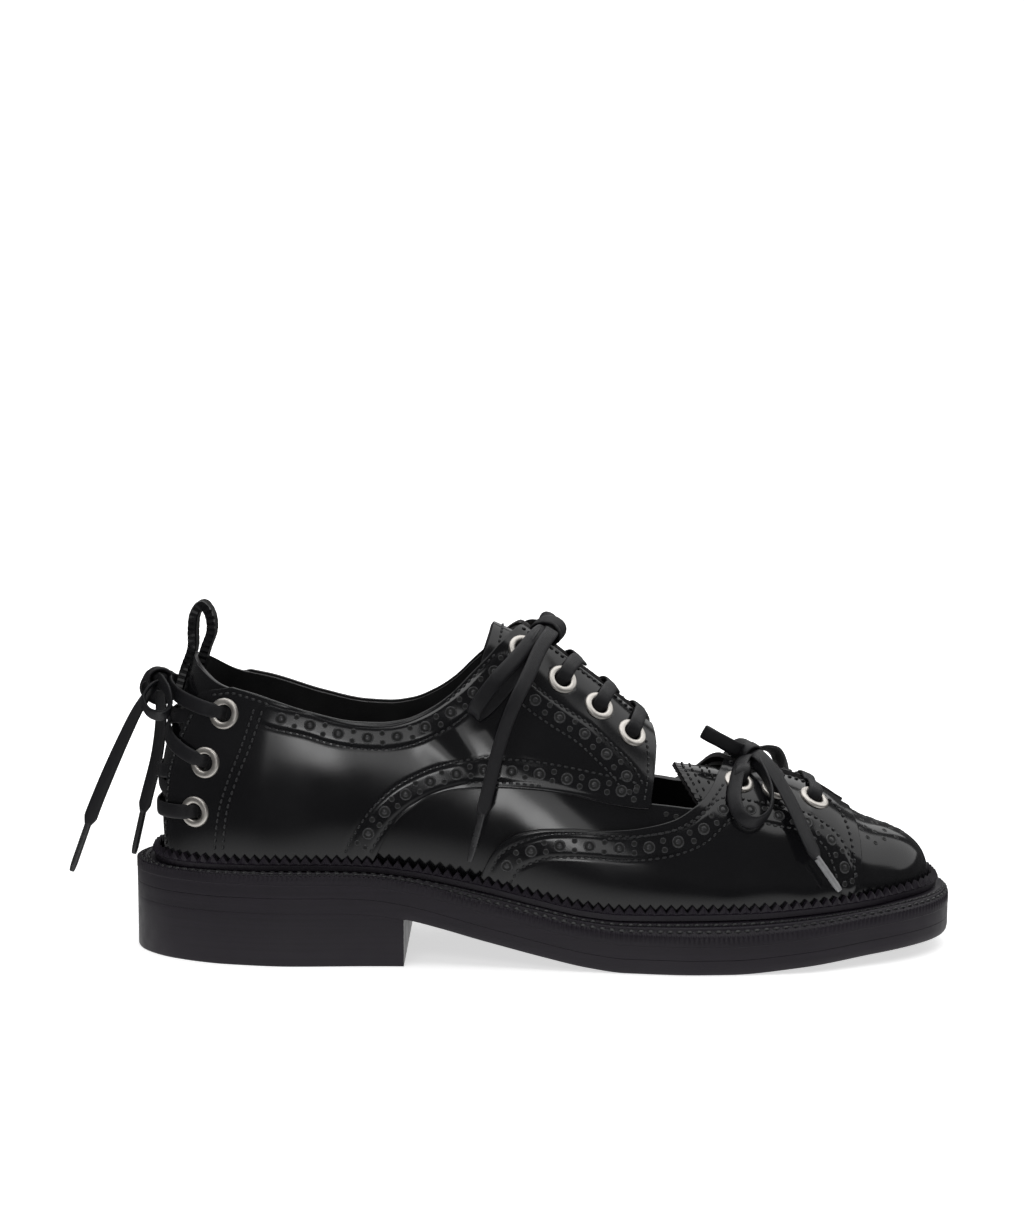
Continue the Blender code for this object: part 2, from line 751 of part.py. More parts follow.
def sole_stations():
    """Stations that also fall on the ends of each flat of the underside."""
    even = np.linspace(0.0, 1.0, SOLE_COLUMNS + 1)
    flats = [sole_station(point.x) for point in SOLE_SIDE[1:-1]]
    return sorted(set(np.round(np.concatenate([even, flats]), 6)))


def make_sole():
    stations = sole_stations()
    slab("outsole", sole_edge, stations, (
        (MIDSOLE_INSET + OUTSOLE_BEVEL, above_underside(0.0)),
        (MIDSOLE_INSET, above_underside(OUTSOLE_BEVEL)),
        (MIDSOLE_INSET, above_underside(OUTSOLE_THICK)),
    ), "sole_edge")
    slab("midsole", sole_edge, stations, (
        (MIDSOLE_INSET, above_underside(MIDSOLE_FOOT)),
        (MIDSOLE_INSET, above_underside(MIDSOLE_FOOT + MIDSOLE_THICK)),
    ), "sole_edge")
    breast = sole_station(HEEL_BREAST)
    heel_stations = [s for s in stations if s < breast - 1e-4] + [breast]
    slab("heel", sole_edge, heel_stations, (
        (0.0, lambda x: 0.0),
        (HEEL_FLARE, above_underside(-SEAT_GAP)),
    ), "sole_edge")


def make_welt():
    stations = sole_stations()
    points = []
    loop = [(s, LATERAL) for s in stations] + [(s, MEDIAL) for s in stations[-2:0:-1]]
    for s, side in loop:
        rim = sole_edge(s, side)
        shoulder = feather_edge(s, side, -WELT_SHOULDER)
        seat = feather_edge(s, side, WELT_UNDER_UPPER)
        rim_foot, rim_top = UNDERSIDE(rim[0]) + WELT_FOOT, UNDERSIDE(rim[0]) + WELT_TOP
        shoulder_top, seat_top = FEATHER(shoulder[0]) - SEAT_GAP, FEATHER(seat[0]) - SEAT_GAP
        seat_foot = UNDERSIDE(seat[0]) + WELT_FOOT
        points += [(*rim, rim_foot), (*rim, rim_top), (*shoulder, shoulder_top)]
        points += [(*seat, seat_top), (*seat, seat_foot)]
    faces = []
    for i in range(len(loop)):
        for j in range(5):
            near, far = 5 * i, 5 * ((i + 1) % len(loop))
            faces.append((near + j, far + j, far + (j + 1) % 5, near + (j + 1) % 5))
    new_solid("welt", points, faces, "sole_edge")


def make_insole():
    stations = sole_stations()

    def level(rise):
        return lambda x: FEATHER(x) + rise

    inset = WALL + 2.0 * SEAT_GAP
    slab("insole", feather_edge, stations, (
        (inset, level(0.0)),
        (inset, level(INSOLE_THICK)),
    ), "lining")


def upper_top(station):
    """Turn at which the base layer of the upper ends."""
    x = LAST_BACK + LAST_LENGTH * along_of(station)
    if x < THROAT_TOP:
        return turn_at_edge(station, COLLAR)
    if x < THROAT_END:
        return min(turn_at_edge(station, COLLAR), turn_at_gap(station, THROAT_GAP))
    if x < VAMP_GAP_END:
        return min(turn_at_edge(station, CUT_OUT), turn_at_gap(station, VAMP_GAP))
    return 1.0


def make_upper():
    stations = list(np.linspace(0.0, 1.0, LAST_COLUMNS + 1)) + [last_station(x) for x in EXTRA_COLUMNS]
    stations = sorted(set(np.round(stations, 6)))
    outer = []
    inner = []
    faces = []
    for side in SIDES.values():
        start = len(outer)
        for s in stations:
            top = upper_top(s)
            for turn in np.linspace(0.0, top, SECTION_ROWS + 1):
                outer.append(last_point(s, turn, side))
                inner.append(off_last(s, turn, side, -WALL))
        faces += grid_faces(len(stations), SECTION_ROWS + 1, start)
    return sheet_solid("upper", outer, inner, faces, "leather")


def make_rand():
    """Strip that stands on the welt round the foot of the upper, closer to it where no panel lies between."""
    stations = np.linspace(0.0, RAND_END, RAND_COLUMNS + 1)
    loop = [(s, LATERAL) for s in stations] + [(s, MEDIAL) for s in stations[:0:-1]]
    outer = []
    inner = []
    for s, side in loop:
        closing = (last_point(s, 0.0, side)[0] - RAND_CLOSES_FROM) / (RAND_CLOSES_TO - RAND_CLOSES_FROM)
        off = RAND_OFF_LAST + min(max(closing, 0.0), 1.0) * (RAND_OFF_TOE - RAND_OFF_LAST)
        for rise in (RAND_FOOT, RAND_HEIGHT):
            turn = turn_where(s, lambda point: point[2] >= last_point(s, 0.0, LATERAL)[2] + rise)
            place = last_point(s, turn, side)
            away = last_normal(s, turn, side) * (1.0, 1.0, 0.0)
            away = away / np.linalg.norm(away)
            inner.append(place + off * away)
            outer.append(place + (off + RAND_THICK) * away)
    sheet_solid("rand", outer, inner, grid_faces(len(loop), 2, closed=True), "sole_edge")


def panel_foot(station):
    foot = last_point(station, 0.0, LATERAL)[2] + PANEL_FOOT
    return turn_at_height(station, foot)


def quarter_low(station):
    return max(panel_foot(station), turn_at_edge(station, ARCH))


def quarter_high(station):
    high = min(turn_at_edge(station, lambda x: COLLAR(x) + PANEL_OVERHANG), turn_at_edge(station, CORNERS))
    if last_point(station, 0.0, LATERAL)[0] > THROAT_TOP:
        high = min(high, turn_at_gap(station, THROAT_GAP - 2.0 * PANEL_OVERHANG))
    return high


def vamp_high(station):
    return min(turn_at_edge(station, WING), turn_at_gap(station, VAMP_GAP - 2.0 * PANEL_OVERHANG))


def make_panel(name, side, columns, rows, low, high):
    """Overlay cut between two larger forms of the last, from its foot to its top edge."""
    outer = []
    inner = []
    for column in columns:
        foot, top = last_station(column.foot), last_station(column.top)
        first = low(foot)
        last = max(high(top), first)
        for share in np.linspace(0.0, 1.0, rows + 1):
            s = foot + share * (top - foot)
            turn = first + share * (last - first)
            inner.append(off_last(s, turn, side, PANEL_GAP))
            outer.append(off_last(s, turn, side, PANEL_GAP + PANEL_THICK))
    return sheet_solid(name, outer, inner, grid_faces(len(columns), rows + 1), "leather")


def place_on_panel(x, z):
    """Station and turn of the panel's outer face that the side view shows at x and z."""
    aim_x, aim_z = x, z
    for _ in range(8):
        station = last_station(aim_x)
        turn = turn_at_height(station, aim_z)
        place = off_last(station, turn, LATERAL, PANEL_GAP + PANEL_THICK)
        aim_x += x - place[0]
        aim_z += z - place[2]
    return station, turn


def spokes(axis):
    """Directions square to an axis, one for each corner of an eyelet."""
    side = np.cross(axis, (0.0, 0.0, 1.0))
    side = side / np.linalg.norm(side)
    other = np.cross(axis, side)
    angles = np.arange(EYELET_SEGMENTS) * 2.0 * math.pi / EYELET_SEGMENTS
    return [side * math.cos(angle) + other * math.sin(angle) for angle in angles]


def make_ring(name, profile, centre, axis, finish):
    """Ring turned about an axis through a centre."""
    points = []
    for spoke in spokes(axis):
        points += [centre + spoke * ring.radius + axis * ring.height for ring in profile]
    count = len(profile)
    faces = []
    for k in range(EYELET_SEGMENTS):
        near, far = k * count, ((k + 1) % EYELET_SEGMENTS) * count
        for j in range(count):
            faces.append((near + j, far + j, far + (j + 1) % count, near + (j + 1) % count))
    return new_solid(name, points, faces, finish)


def combine(solid, guide, operation, solver):
    """Cut a guide body out of a solid or join it on; the guide itself isn't part of the shoe."""
    guide.hide_render = True
    guide.display_type = "WIRE"
    step = solid.modifiers.new(guide.name, "BOOLEAN")
    step.operation = operation
    step.solver = solver
    step.object = guide


def make_eyelets(upper, panels):
    """Eyelets through panel and upper; one cutter a panel makes all its holes."""
    counts = {}
    cutters = {}
    for row in EYELETS:
        counts[row.group] = counts.get(row.group, 0) + 1
        station, turn = place_on_panel(row.x, row.z)
        for side_name, side in SIDES.items():
            centre = off_last(station, turn, side, PANEL_GAP + PANEL_THICK)
            axis = last_normal(station, turn, side)
            name = f"eyelet_{row.group}_{side_name}_{counts[row.group]}"
            make_ring(name, EYELET_PROFILE, centre, axis, "nickel")
            panel = "vamp" if row.group == "vamp" else "quarter"
            cutters.setdefault(f"{panel}_{side_name}", []).append((centre, axis))
    for panel_name, holes in cutters.items():
        cutter = hole_cutter(panel_name + "_holes", holes)
        solver = "MANIFOLD" if panel_name.startswith("vamp") else "EXACT"
        combine(panels[panel_name], cutter, "DIFFERENCE", solver)
        combine(upper, cutter, "DIFFERENCE", "EXACT")


def hole_cutter(name, holes):
    """Row of eight-sided plugs, one for each eyelet of a panel."""
    points = []
    faces = []
    for centre, axis in holes:
        start = len(points)
        for height in (-EYELET_CUT_DEPTH, EYELET_CUT_DEPTH / 2.0):
            points += [centre + spoke * EYELET_CUT + axis * height for spoke in spokes(axis)]
        for k in range(EYELET_SEGMENTS):
            a, b = start + k, start + (k + 1) % EYELET_SEGMENTS
            faces.append((a, b, b + EYELET_SEGMENTS, a + EYELET_SEGMENTS))
        faces.append(tuple(start + k for k in reversed(range(EYELET_SEGMENTS))))
        faces.append(tuple(start + EYELET_SEGMENTS + k for k in range(EYELET_SEGMENTS)))
    return new_solid(name, points, faces, "leather", smooth=False)


def make_pull_loop():
    """Folded strap that straddles the back of the collar."""
    route = np.array([(point.x, point.z) for point in LOOP_ROUTE])
    runs = np.gradient(route, axis=0)
    runs = runs / np.linalg.norm(runs, axis=1)[:, None]
    aside = np.stack([-runs[:, 1], runs[:, 0]], axis=1) * LOOP_THICK / 2.0
    middle = SOLE_SWING(0.0) - CENTRE
    outer = []
    inner = []
    for place, step in zip(route, aside):
        for y in (middle - LOOP_WIDTH / 2.0, middle + LOOP_WIDTH / 2.0):
            outer.append(np.array([place[0] + step[0], y, place[1] + step[1]]))
            inner.append(np.array([place[0] - step[0], y, place[1] - step[1]]))
    sheet_solid("pull_loop", outer, inner, grid_faces(len(route), 2), "leather")


def lace_leg(start, end):
    """Places of a lace from one (station, turn, lift) to another."""
    return np.linspace(start, end, LACE_STEPS + 1)


def make_lace(name, places):
    """Flat lace through (side, station, turn, lift) places over the last."""
    middles = np.array([off_last(s, t, side, lift) for side, s, t, lift in places])
    normals = np.array([last_normal(s, t, side) for side, s, t, lift in places])
    widths = np.cross(normals, np.gradient(middles, axis=0))
    widths = widths / np.linalg.norm(widths, axis=1)[:, None] * LACE_WIDTH / 2.0
    outer = []
    inner = []
    for middle, normal, width in zip(middles, normals, widths):
        for edge in (middle - width, middle + width):
            inner.append(edge)
            outer.append(edge + normal * LACE_THICK)
    return sheet_solid(name, outer, inner, grid_faces(len(middles), 2), "lace")


def both_legs(leg, other_leg, side):
    """Places of a lace that comes in on one leg and leaves by the other on the far side."""
    there = [(side, *place) for place in leg]
    back = [(-side, *place) for place in other_leg]
    return there + back[1:]


def make_lace_bars():
    for bar in LACE_BARS:
        rows = [row for row in EYELETS if row.group == bar.group]
        eyelet = rows[bar.eyelet - 1]
        middle_station = last_station(bar.middle_x)
        middle_turn = 1.0 if bar.middle_z is None else turn_at_height(middle_station, bar.middle_z)
        start = (*place_on_panel(eyelet.x, eyelet.z), LACE_OVER_EYELET)
        leg = lace_leg(start, (middle_station, middle_turn, bar.lift))
        make_lace(bar.name, both_legs(leg, leg[::-1], LATERAL))


def make_lace_crosses():
    """Two laces that cross on the centre line of the heel, joined where they meet."""
    for cross in LACE_CROSSES:
        middle = (0.0, turn_at_height(0.0, cross.middle_z), LACE_OVER_BASE)
        low = (*place_on_panel(cross.low_x, cross.low_z), cross.low_lift)
        high = (*place_on_panel(cross.high_x, cross.high_z), LACE_OVER_BASE)
        legs = lace_leg(low, middle), lace_leg(middle, high)
        raised = [leg + np.array([0.0, 0.0, LACE_OVER_LACE]) for leg in legs]
        lace = make_lace(cross.name, both_legs(*legs, LATERAL))
        twin = make_lace(cross.name + "_twin", both_legs(*raised, MEDIAL))
        combine(lace, twin, "UNION", "EXACT")


def make_cord(cord):
    """Round cord along a smooth curve through its route."""
    route = np.array(cord.route)
    steps = np.linalg.norm(np.diff(route, axis=0), axis=1)
    along = np.concatenate([[0.0], np.cumsum(steps)])
    curves = [smooth_curve(along, route[:, axis]) for axis in range(3)]
    count = max(math.ceil(along[-1] / CORD_SPACING), 1) + 1
    data = bpy.data.curves.new(cord.name, "CURVE")
    data.dimensions = "3D"
    data.bevel_depth = cord.thick / 2.0 * MM
    data.bevel_resolution = 2
    data.use_fill_caps = True
    spline = data.splines.new("POLY")
    spline.points.add(count - 1)
    for point, place in zip(spline.points, np.linspace(0.0, along[-1], count)):
        point.co = (*(curve(place) * MM for curve in curves), 1.0)
    solid = bpy.data.objects.new(cord.name, data)
    data.materials.append(new_material(cord.name, FINISHES["lace"]))
    bpy.context.collection.objects.link(solid)


def across_ridge(edge_turn, steps):
    """Sides and turns from the lateral edge over the ridge to the medial edge."""
    turns = np.linspace(edge_turn, 1.0, steps + 1)
    return [(LATERAL, t) for t in turns] + [(MEDIAL, t) for t in turns[-2::-1]]


def make_tongue():
    columns = np.linspace(TONGUE_TIP, TONGUE_FRONT, TONGUE_COLUMNS)
    outer = []
    inner = []
    for x in columns:
        s = last_station(x)
        sunk = max(0.0, x / TONGUE_TIP) * (TONGUE_TIP_DEPTH - TONGUE_DEPTH)
        row = across_ridge(turn_at_gap(s, 2.0 * TONGUE_HALF), TONGUE_ROWS)
        for side, turn in row:
            outer.append(off_last(s, turn, side, -TONGUE_DEPTH - sunk))
            inner.append(off_last(s, turn, side, -TONGUE_DEPTH - sunk - TONGUE_THICK))
    sheet_solid("tongue", outer, inner, grid_faces(len(columns), len(row)), "leather")


def make_vamp_tongue():
    shares = np.linspace(0.0, 1.0, TONGUE_COLUMNS)
    outer = []
    inner = []
    for share in shares:
        middle = VAMP_TONGUE_TIP + share * (VAMP_TONGUE_FRONT - VAMP_TONGUE_TIP)
        s = last_station(max(middle, VAMP_TONGUE_FLARE))
        row = across_ridge(turn_at_gap(s, 2.0 * VAMP_TONGUE_HALF), TONGUE_ROWS)
        for place, (side, turn) in enumerate(row):
            aside = abs(2.0 * place / (len(row) - 1) - 1.0)
            back = VAMP_TONGUE_CORNER * aside * aside * (1.0 - share)
            moved = np.array([min(middle - VAMP_TONGUE_FLARE, 0.0) + back, 0.0, 0.0])
            outer.append(off_last(s, turn, side, -VAMP_TONGUE_DEPTH) + moved)
            inner.append(off_last(s, turn, side, -VAMP_TONGUE_DEPTH - TONGUE_THICK) + moved)
    sheet_solid("vamp_tongue", outer, inner, grid_faces(len(shares), len(row)), "leather")


def main():
    for old in list(bpy.data.objects):
        bpy.data.objects.remove(old, do_unlink=True)
    make_sole()
    make_welt()
    make_insole()
    make_rand()
    upper = make_upper()
    make_tongue()
    make_vamp_tongue()
    panels = {}
    for side_name, side in SIDES.items():
        name = f"quarter_{side_name}"
        panels[name] = make_panel(name, side, QUARTER_COLUMNS, QUARTER_ROWS, quarter_low, quarter_high)
        name = f"vamp_{side_name}"
        panels[name] = make_panel(name, side, VAMP_COLUMNS, VAMP_ROWS, panel_foot, vamp_high)
    make_eyelets(upper, panels)
    make_pull_loop()
    make_lace_bars()
    make_lace_crosses()
    for cord in LACE_CORDS:
        make_cord(cord)


main()
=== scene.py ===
# %% [markdown]
# # A cut-out brogue with three lacings
# The imported solids come in as a fixed frame. Every piece below is dressed over them in the same
# frame: the toe points along +X, the lateral side faces -Y, the floor is z = 0.

# %% Load the frame
import math

import bpy
import numpy as np
from mathutils import Matrix, Vector
from mathutils.kdtree import KDTree


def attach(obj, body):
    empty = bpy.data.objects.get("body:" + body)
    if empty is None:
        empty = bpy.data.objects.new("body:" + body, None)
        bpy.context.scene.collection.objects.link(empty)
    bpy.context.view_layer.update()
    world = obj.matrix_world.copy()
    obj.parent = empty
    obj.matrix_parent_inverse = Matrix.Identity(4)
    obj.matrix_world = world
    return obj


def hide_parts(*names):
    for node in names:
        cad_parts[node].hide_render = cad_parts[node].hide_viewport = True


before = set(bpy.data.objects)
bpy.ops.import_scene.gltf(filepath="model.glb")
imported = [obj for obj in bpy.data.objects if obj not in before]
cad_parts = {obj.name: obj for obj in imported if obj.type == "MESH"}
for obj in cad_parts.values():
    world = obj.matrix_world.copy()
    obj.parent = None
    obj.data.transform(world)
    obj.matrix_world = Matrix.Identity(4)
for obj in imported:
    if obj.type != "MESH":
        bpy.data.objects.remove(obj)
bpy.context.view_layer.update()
scene = bpy.context.scene
MM = 0.001
LATERAL, MEDIAL = -1, 1
SIDES = {"lateral": LATERAL, "medial": MEDIAL}
UP = np.array([0.0, 0.0, 1.0])

# %% [markdown]
# ## Camera
# The shoe is seen square from its lateral side, from a little above, so that the welt shows as a
# narrow band and the far edge of the collar rises over the near one. Lens, height and tilt were worked
# out from the sole's length and from the ellipses of the eyelets.

# %% Camera
eye = bpy.data.cameras.new("photo_camera")
eye.lens = 60.65
eye.sensor_width = 36.0
camera = bpy.data.objects.new("photo_camera", eye)
camera.location = (-0.0108, -0.704, 0.18062)
camera.rotation_euler = (math.radians(90.0 - 5.476), 0.0, 0.0)
scene.collection.objects.link(camera)
scene.camera = camera
scene.view_settings.view_transform = "Standard"
print("camera", tuple(round(c, 4) for c in camera.location), "lens", round(eye.lens, 2))

# %% [markdown]
# ## The last
# A shoe is made over a last, a wooden foot. Its surface is given here by cross-sections along the
# foot. All leather, seams, punches and eyelets are placed on this one surface by a station (0 at the
# heel, 1 at the toe) and a turn (0 at the sole, 1 on the ridge), so that everything follows the form.

# %% Sizes of the last and the sole, in millimetres
SOLE_LENGTH, OUTSOLE_THICK, MIDSOLE_THICK, WELT_THICK, SEAT_GAP = 280.0, 5.0, 3.9, 3.5, 0.3
MIDSOLE_FOOT = OUTSOLE_THICK + SEAT_GAP
WELT_FOOT = MIDSOLE_FOOT + MIDSOLE_THICK + SEAT_GAP
WELT_TOP = WELT_FOOT + WELT_THICK
LAST_BACK, LAST_LENGTH, LEAN_END = -130.0, 263.4, -58.0
WALL, PANEL_GAP, PANEL_THICK = 1.8, 0.5, 1.3
PANEL_FACE = PANEL_GAP + PANEL_THICK

SOLE_PLAN = np.array([  # share of the length, half width, swing of the middle
    (0.000, 0.0, 0.0), (0.020, 15.2, 0.0), (0.060, 25.0, 0.0), (0.130, 33.0, 0.0), (0.200, 35.6, -0.3),
    (0.290, 34.4, -1.0), (0.360, 33.6, -2.2), (0.430, 35.0, -3.0), (0.570, 41.4, -2.4), (0.680, 46.0, -1.4),
    (0.790, 44.6, -0.4), (0.890, 37.0, 2.6), (0.955, 26.4, 3.0), (0.985, 16.4, 2.8), (1.000, 0.0, 2.8)])
SOLE_SIDE = np.array([  # x, height of the underside, height of the line where the upper starts
    (-140.0, 17.8, 31.1), (-70.0, 17.8, 31.1), (-58.0, 17.3, 30.7), (-46.5, 15.6, 29.5), (-34.0, 12.6, 27.5),
    (-20.0, 8.9, 24.7), (0.0, 4.1, 20.4), (14.0, 1.3, 17.7), (26.0, 0.0, 16.7), (60.0, 0.0, 17.0),
    (85.0, 1.9, 18.0), (112.0, 4.0, 19.2), (140.0, 5.5, 21.0)])
LAST_SECTIONS = np.array([  # x, half width, swing, rise, squareness, swell of the sides
    (-130.0, 0.0, 0.0, 105.0, 2.6, 0.0), (-128.0, 10.5, 0.0, 105.0, 2.6, 0.2),
    (-126.0, 14.6, 0.0, 105.0, 2.6, 0.5), (-122.0, 19.0, 0.0, 105.0, 2.6, 1.0),
    (-116.0, 22.4, 0.0, 105.0, 2.6, 1.6), (-106.0, 25.2, 0.0, 105.0, 2.6, 2.3),
    (-92.0, 26.6, -0.2, 105.0, 2.6, 2.8), (-66.0, 26.0, -1.0, 105.0, 2.5, 3.2),
    (-40.0, 25.2, -2.2, 100.0, 2.4, 3.2), (-20.0, 26.4, -2.9, 95.6, 2.2, 3.0),
    (-6.0, 28.8, -3.0, 89.2, 2.05, 2.8), (17.0, 33.2, -2.4, 75.2, 2.0, 2.6),
    (38.0, 36.0, -1.2, 58.7, 2.05, 2.4), (54.0, 36.8, -0.5, 49.6, 2.1, 2.2),
    (70.0, 36.6, 0.1, 43.3, 2.15, 2.2), (86.0, 34.2, 0.6, 38.6, 2.2, 2.0),
    (96.0, 31.4, 1.2, 33.6, 2.25, 1.8), (102.0, 29.2, 1.7, 29.4, 2.3, 1.7),
    (112.0, 24.8, 2.5, 23.4, 2.3, 1.5), (120.0, 20.4, 3.0, 20.1, 2.3, 1.2),
    (126.5, 15.6, 3.2, 16.3, 2.3, 0.9), (131.0, 9.6, 3.2, 11.2, 2.3, 0.5), (133.4, 0.0, 3.2, 0.0, 2.3, 0.0)])
BACK_CURVE = np.array([(0.0, 0.0), (14.0, -0.7), (29.0, -0.6), (57.0, 6.8), (70.0, 10.5), (100.0, 20.0)])


# %% Smooth curves through short tables
def curve_through(places, values):
    """Monotone cubic, so that a flat stretch of a table stays flat."""
    places, values = np.array(places, float), np.array(values, float)
    steps = np.diff(places)
    slopes = np.diff(values) / steps
    tangents = np.zeros(len(places))
    tangents[0], tangents[-1] = slopes[0], slopes[-1]
    for k in range(1, len(places) - 1):
        before, after = slopes[k - 1], slopes[k]
        if before * after > 0.0:
            heavy, light = 2.0 * steps[k] + steps[k - 1], steps[k] + 2.0 * steps[k - 1]
            tangents[k] = (heavy + light) / (heavy / before + light / after)

    def value_at(place):
        place = np.clip(place, places[0], places[-1])
        k = np.clip(np.searchsorted(places, place) - 1, 0, len(steps) - 1)
        share = (place - places[k]) / steps[k]
        rest = 1.0 - share
        start = values[k] * (1.0 + 2.0 * share) + tangents[k] * steps[k] * share
        end = values[k + 1] * (1.0 + 2.0 * rest) - tangents[k + 1] * steps[k] * rest
        return start * rest * rest + end * share * share

    return value_at


def spline(points, per=10, closed=False):
    """Rounded line through route points, with some points between each two."""
    points = np.array(points, float)
    if closed:
        padded = np.vstack([points[-1], points, points[:2]])
    else:
        padded = np.vstack([2 * points[0] - points[1], points, 2 * points[-1] - points[-2]])
    rows = []
    for k in range(1, len(padded) - 2):
        a, b, c, d = padded[k - 1:k + 3]
        u = np.linspace(0.0, 1.0, per, endpoint=False)[:, None]
        rows.append(0.5 * (2 * b + (c - a) * u + (2 * a - 5 * b + 4 * c - d) * u ** 2
                           + (3 * b - a - 3 * c + d) * u ** 3))
    if not closed:
        rows.append(padded[-2:-1])
    return np.vstack(rows)


def unit(vectors):
    return vectors / np.maximum(np.linalg.norm(vectors, axis=-1, keepdims=True), 1e-12)


def length_along(points):
    return np.concatenate([[0.0], np.cumsum(np.linalg.norm(np.diff(points, axis=0), axis=1))])


def resample(points, count):
    along = length_along(points)
    even = np.linspace(0.0, along[-1], count)
    return np.stack([np.interp(even, along, points[:, axis]) for axis in range(points.shape[1])], -1)


def smooth_step(value, low, high):
    share = np.clip((value - low) / (high - low), 0.0, 1.0)
    return share * share * (3.0 - 2.0 * share)


# %% Stations, turns and points of the last
def station_of(share):
    return np.arccos(1.0 - 2.0 * np.clip(share, 0.0, 1.0)) / math.pi


def along_of(station):
    return (1.0 - np.cos(math.pi * np.asarray(station, float))) / 2.0


def last_station(x):
    return station_of((np.asarray(x, float) - LAST_BACK) / LAST_LENGTH)


def last_x(station):
    return LAST_BACK + LAST_LENGTH * along_of(station)


def sole_station(x):
    return station_of(np.asarray(x, float) / SOLE_LENGTH + 0.5)


SOLE_HALF, SOLE_SWING = (curve_through(station_of(SOLE_PLAN[:, 0]), SOLE_PLAN[:, k]) for k in (1, 2))
UNDERSIDE, FEATHER = (curve_through(SOLE_SIDE[:, 0], SOLE_SIDE[:, k]) for k in (1, 2))
HALF, SWING, RISE, SQUARE, SWELL = (
    curve_through(last_station(LAST_SECTIONS[:, 0]), LAST_SECTIONS[:, k]) for k in range(1, 6))
LEAN = curve_through(BACK_CURVE[:, 0], BACK_CURVE[:, 1])
even = np.linspace(0.0, 1.0, 400)
CENTRE = (np.min(SOLE_SWING(even) - SOLE_HALF(even)) + np.max(SOLE_SWING(even) + SOLE_HALF(even))) / 2.0


def last_point(station, turn, side):
    station, turn, side = np.broadcast_arrays(np.asarray(station, float), turn, side)
    x = last_x(station)
    power = 2.0 / SQUARE(station)
    angle = np.clip(turn, 0.0, 1.0) * math.pi / 2.0
    up = np.sin(angle) ** power
    rise = RISE(station) * up
    out = HALF(station) * np.maximum(np.cos(angle), 0.0) ** power
    swell = SWELL(station) * np.sin(math.pi * up ** 0.6)
    fade = smooth_step(-x, -LEAN_END, -LAST_BACK)
    y = SWING(station) - CENTRE + side * (out + swell)
    return np.stack([x + LEAN(rise) * fade, y, FEATHER(x) + rise], -1)


def last_normal(station, turn, side):
    step = 1e-3
    station, turn, side = np.broadcast_arrays(np.asarray(station, float), turn, side)
    s = np.clip(station, 2 * step, 1 - 2 * step)
    t = np.clip(turn, 2 * step, 1 - 2 * step)

    def one_side(which):
        along = last_point(s + step, t, which) - last_point(s - step, t, which)
        upward = last_point(s, t + step, which) - last_point(s, t - step, which)
        return unit(-which[..., None] * np.cross(along, upward))

    normal = one_side(side)
    shared = (station < 1e-6) | (station > 1 - 1e-6) | (turn > 1 - 1e-6)
    return np.where(shared[..., None], unit(normal + one_side(-side)), normal)


def off_last(station, turn, side, distance):
    distance = np.asarray(distance, float)[..., None]
    return last_point(station, turn, side) + distance * last_normal(station, turn, side)


def turn_where(station, reached):
    """First turn at which reached(points) is true, found by halving."""
    station = np.asarray(station, float)
    low, high = np.zeros(station.shape), np.ones(station.shape)
    for _ in range(28):
        middle = (low + high) / 2.0
        hit = reached(last_point(station, middle, LATERAL))
        high, low = np.where(hit, middle, high), np.where(hit, low, middle)
    return np.where(reached(last_point(station, np.ones(station.shape), LATERAL)), high, 1.0)


def turn_at_edge(station, edge):
    return turn_where(station, lambda point: point[..., 2] >= edge(point[..., 0]))


def turn_at_gap(station, gap):
    middle = SWING(station) - CENTRE
    return turn_where(station, lambda point: point[..., 1] >= middle - gap / 2.0)


def place_on(x, z, face):
    """Station and turn of the point that the side view shows at x and z, on a face off the last."""
    x, z = np.asarray(x, float), np.asarray(z, float)
    aim_x, aim_z = x.copy(), z.copy()
    for _ in range(8):
        station = last_station(aim_x)
        turn = turn_where(station, lambda point: point[..., 2] >= aim_z)
        place = off_last(station, turn, LATERAL, np.full(x.shape, face))
        aim_x = aim_x + x - place[..., 0]
        aim_z = aim_z + z - place[..., 2]
    return station, turn


print("ridge at the toe", last_point(last_station(112.0), 1.0, LATERAL).round(2), "centre", round(CENTRE, 3))

# %% [markdown]
# ## Meshes from arrays
# Leather is a sheet with a thickness. A sheet here is two like-numbered nets of points, one for each
# face, walled in along every open edge, so cut edges and holes come out closed. The last rows before
# an edge drop a little, which rounds the cut edge so that it catches the light as real edges do.


# %% Sheets, slabs and sweeps
def dress(piece, slot, *nodes):
    """Hands a finished piece to the frame: hides the solids it stands for and hangs it on the root body; the slot is
    not used.
    """
    if nodes:
        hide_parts(*nodes)
    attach(piece, "root")
    return piece


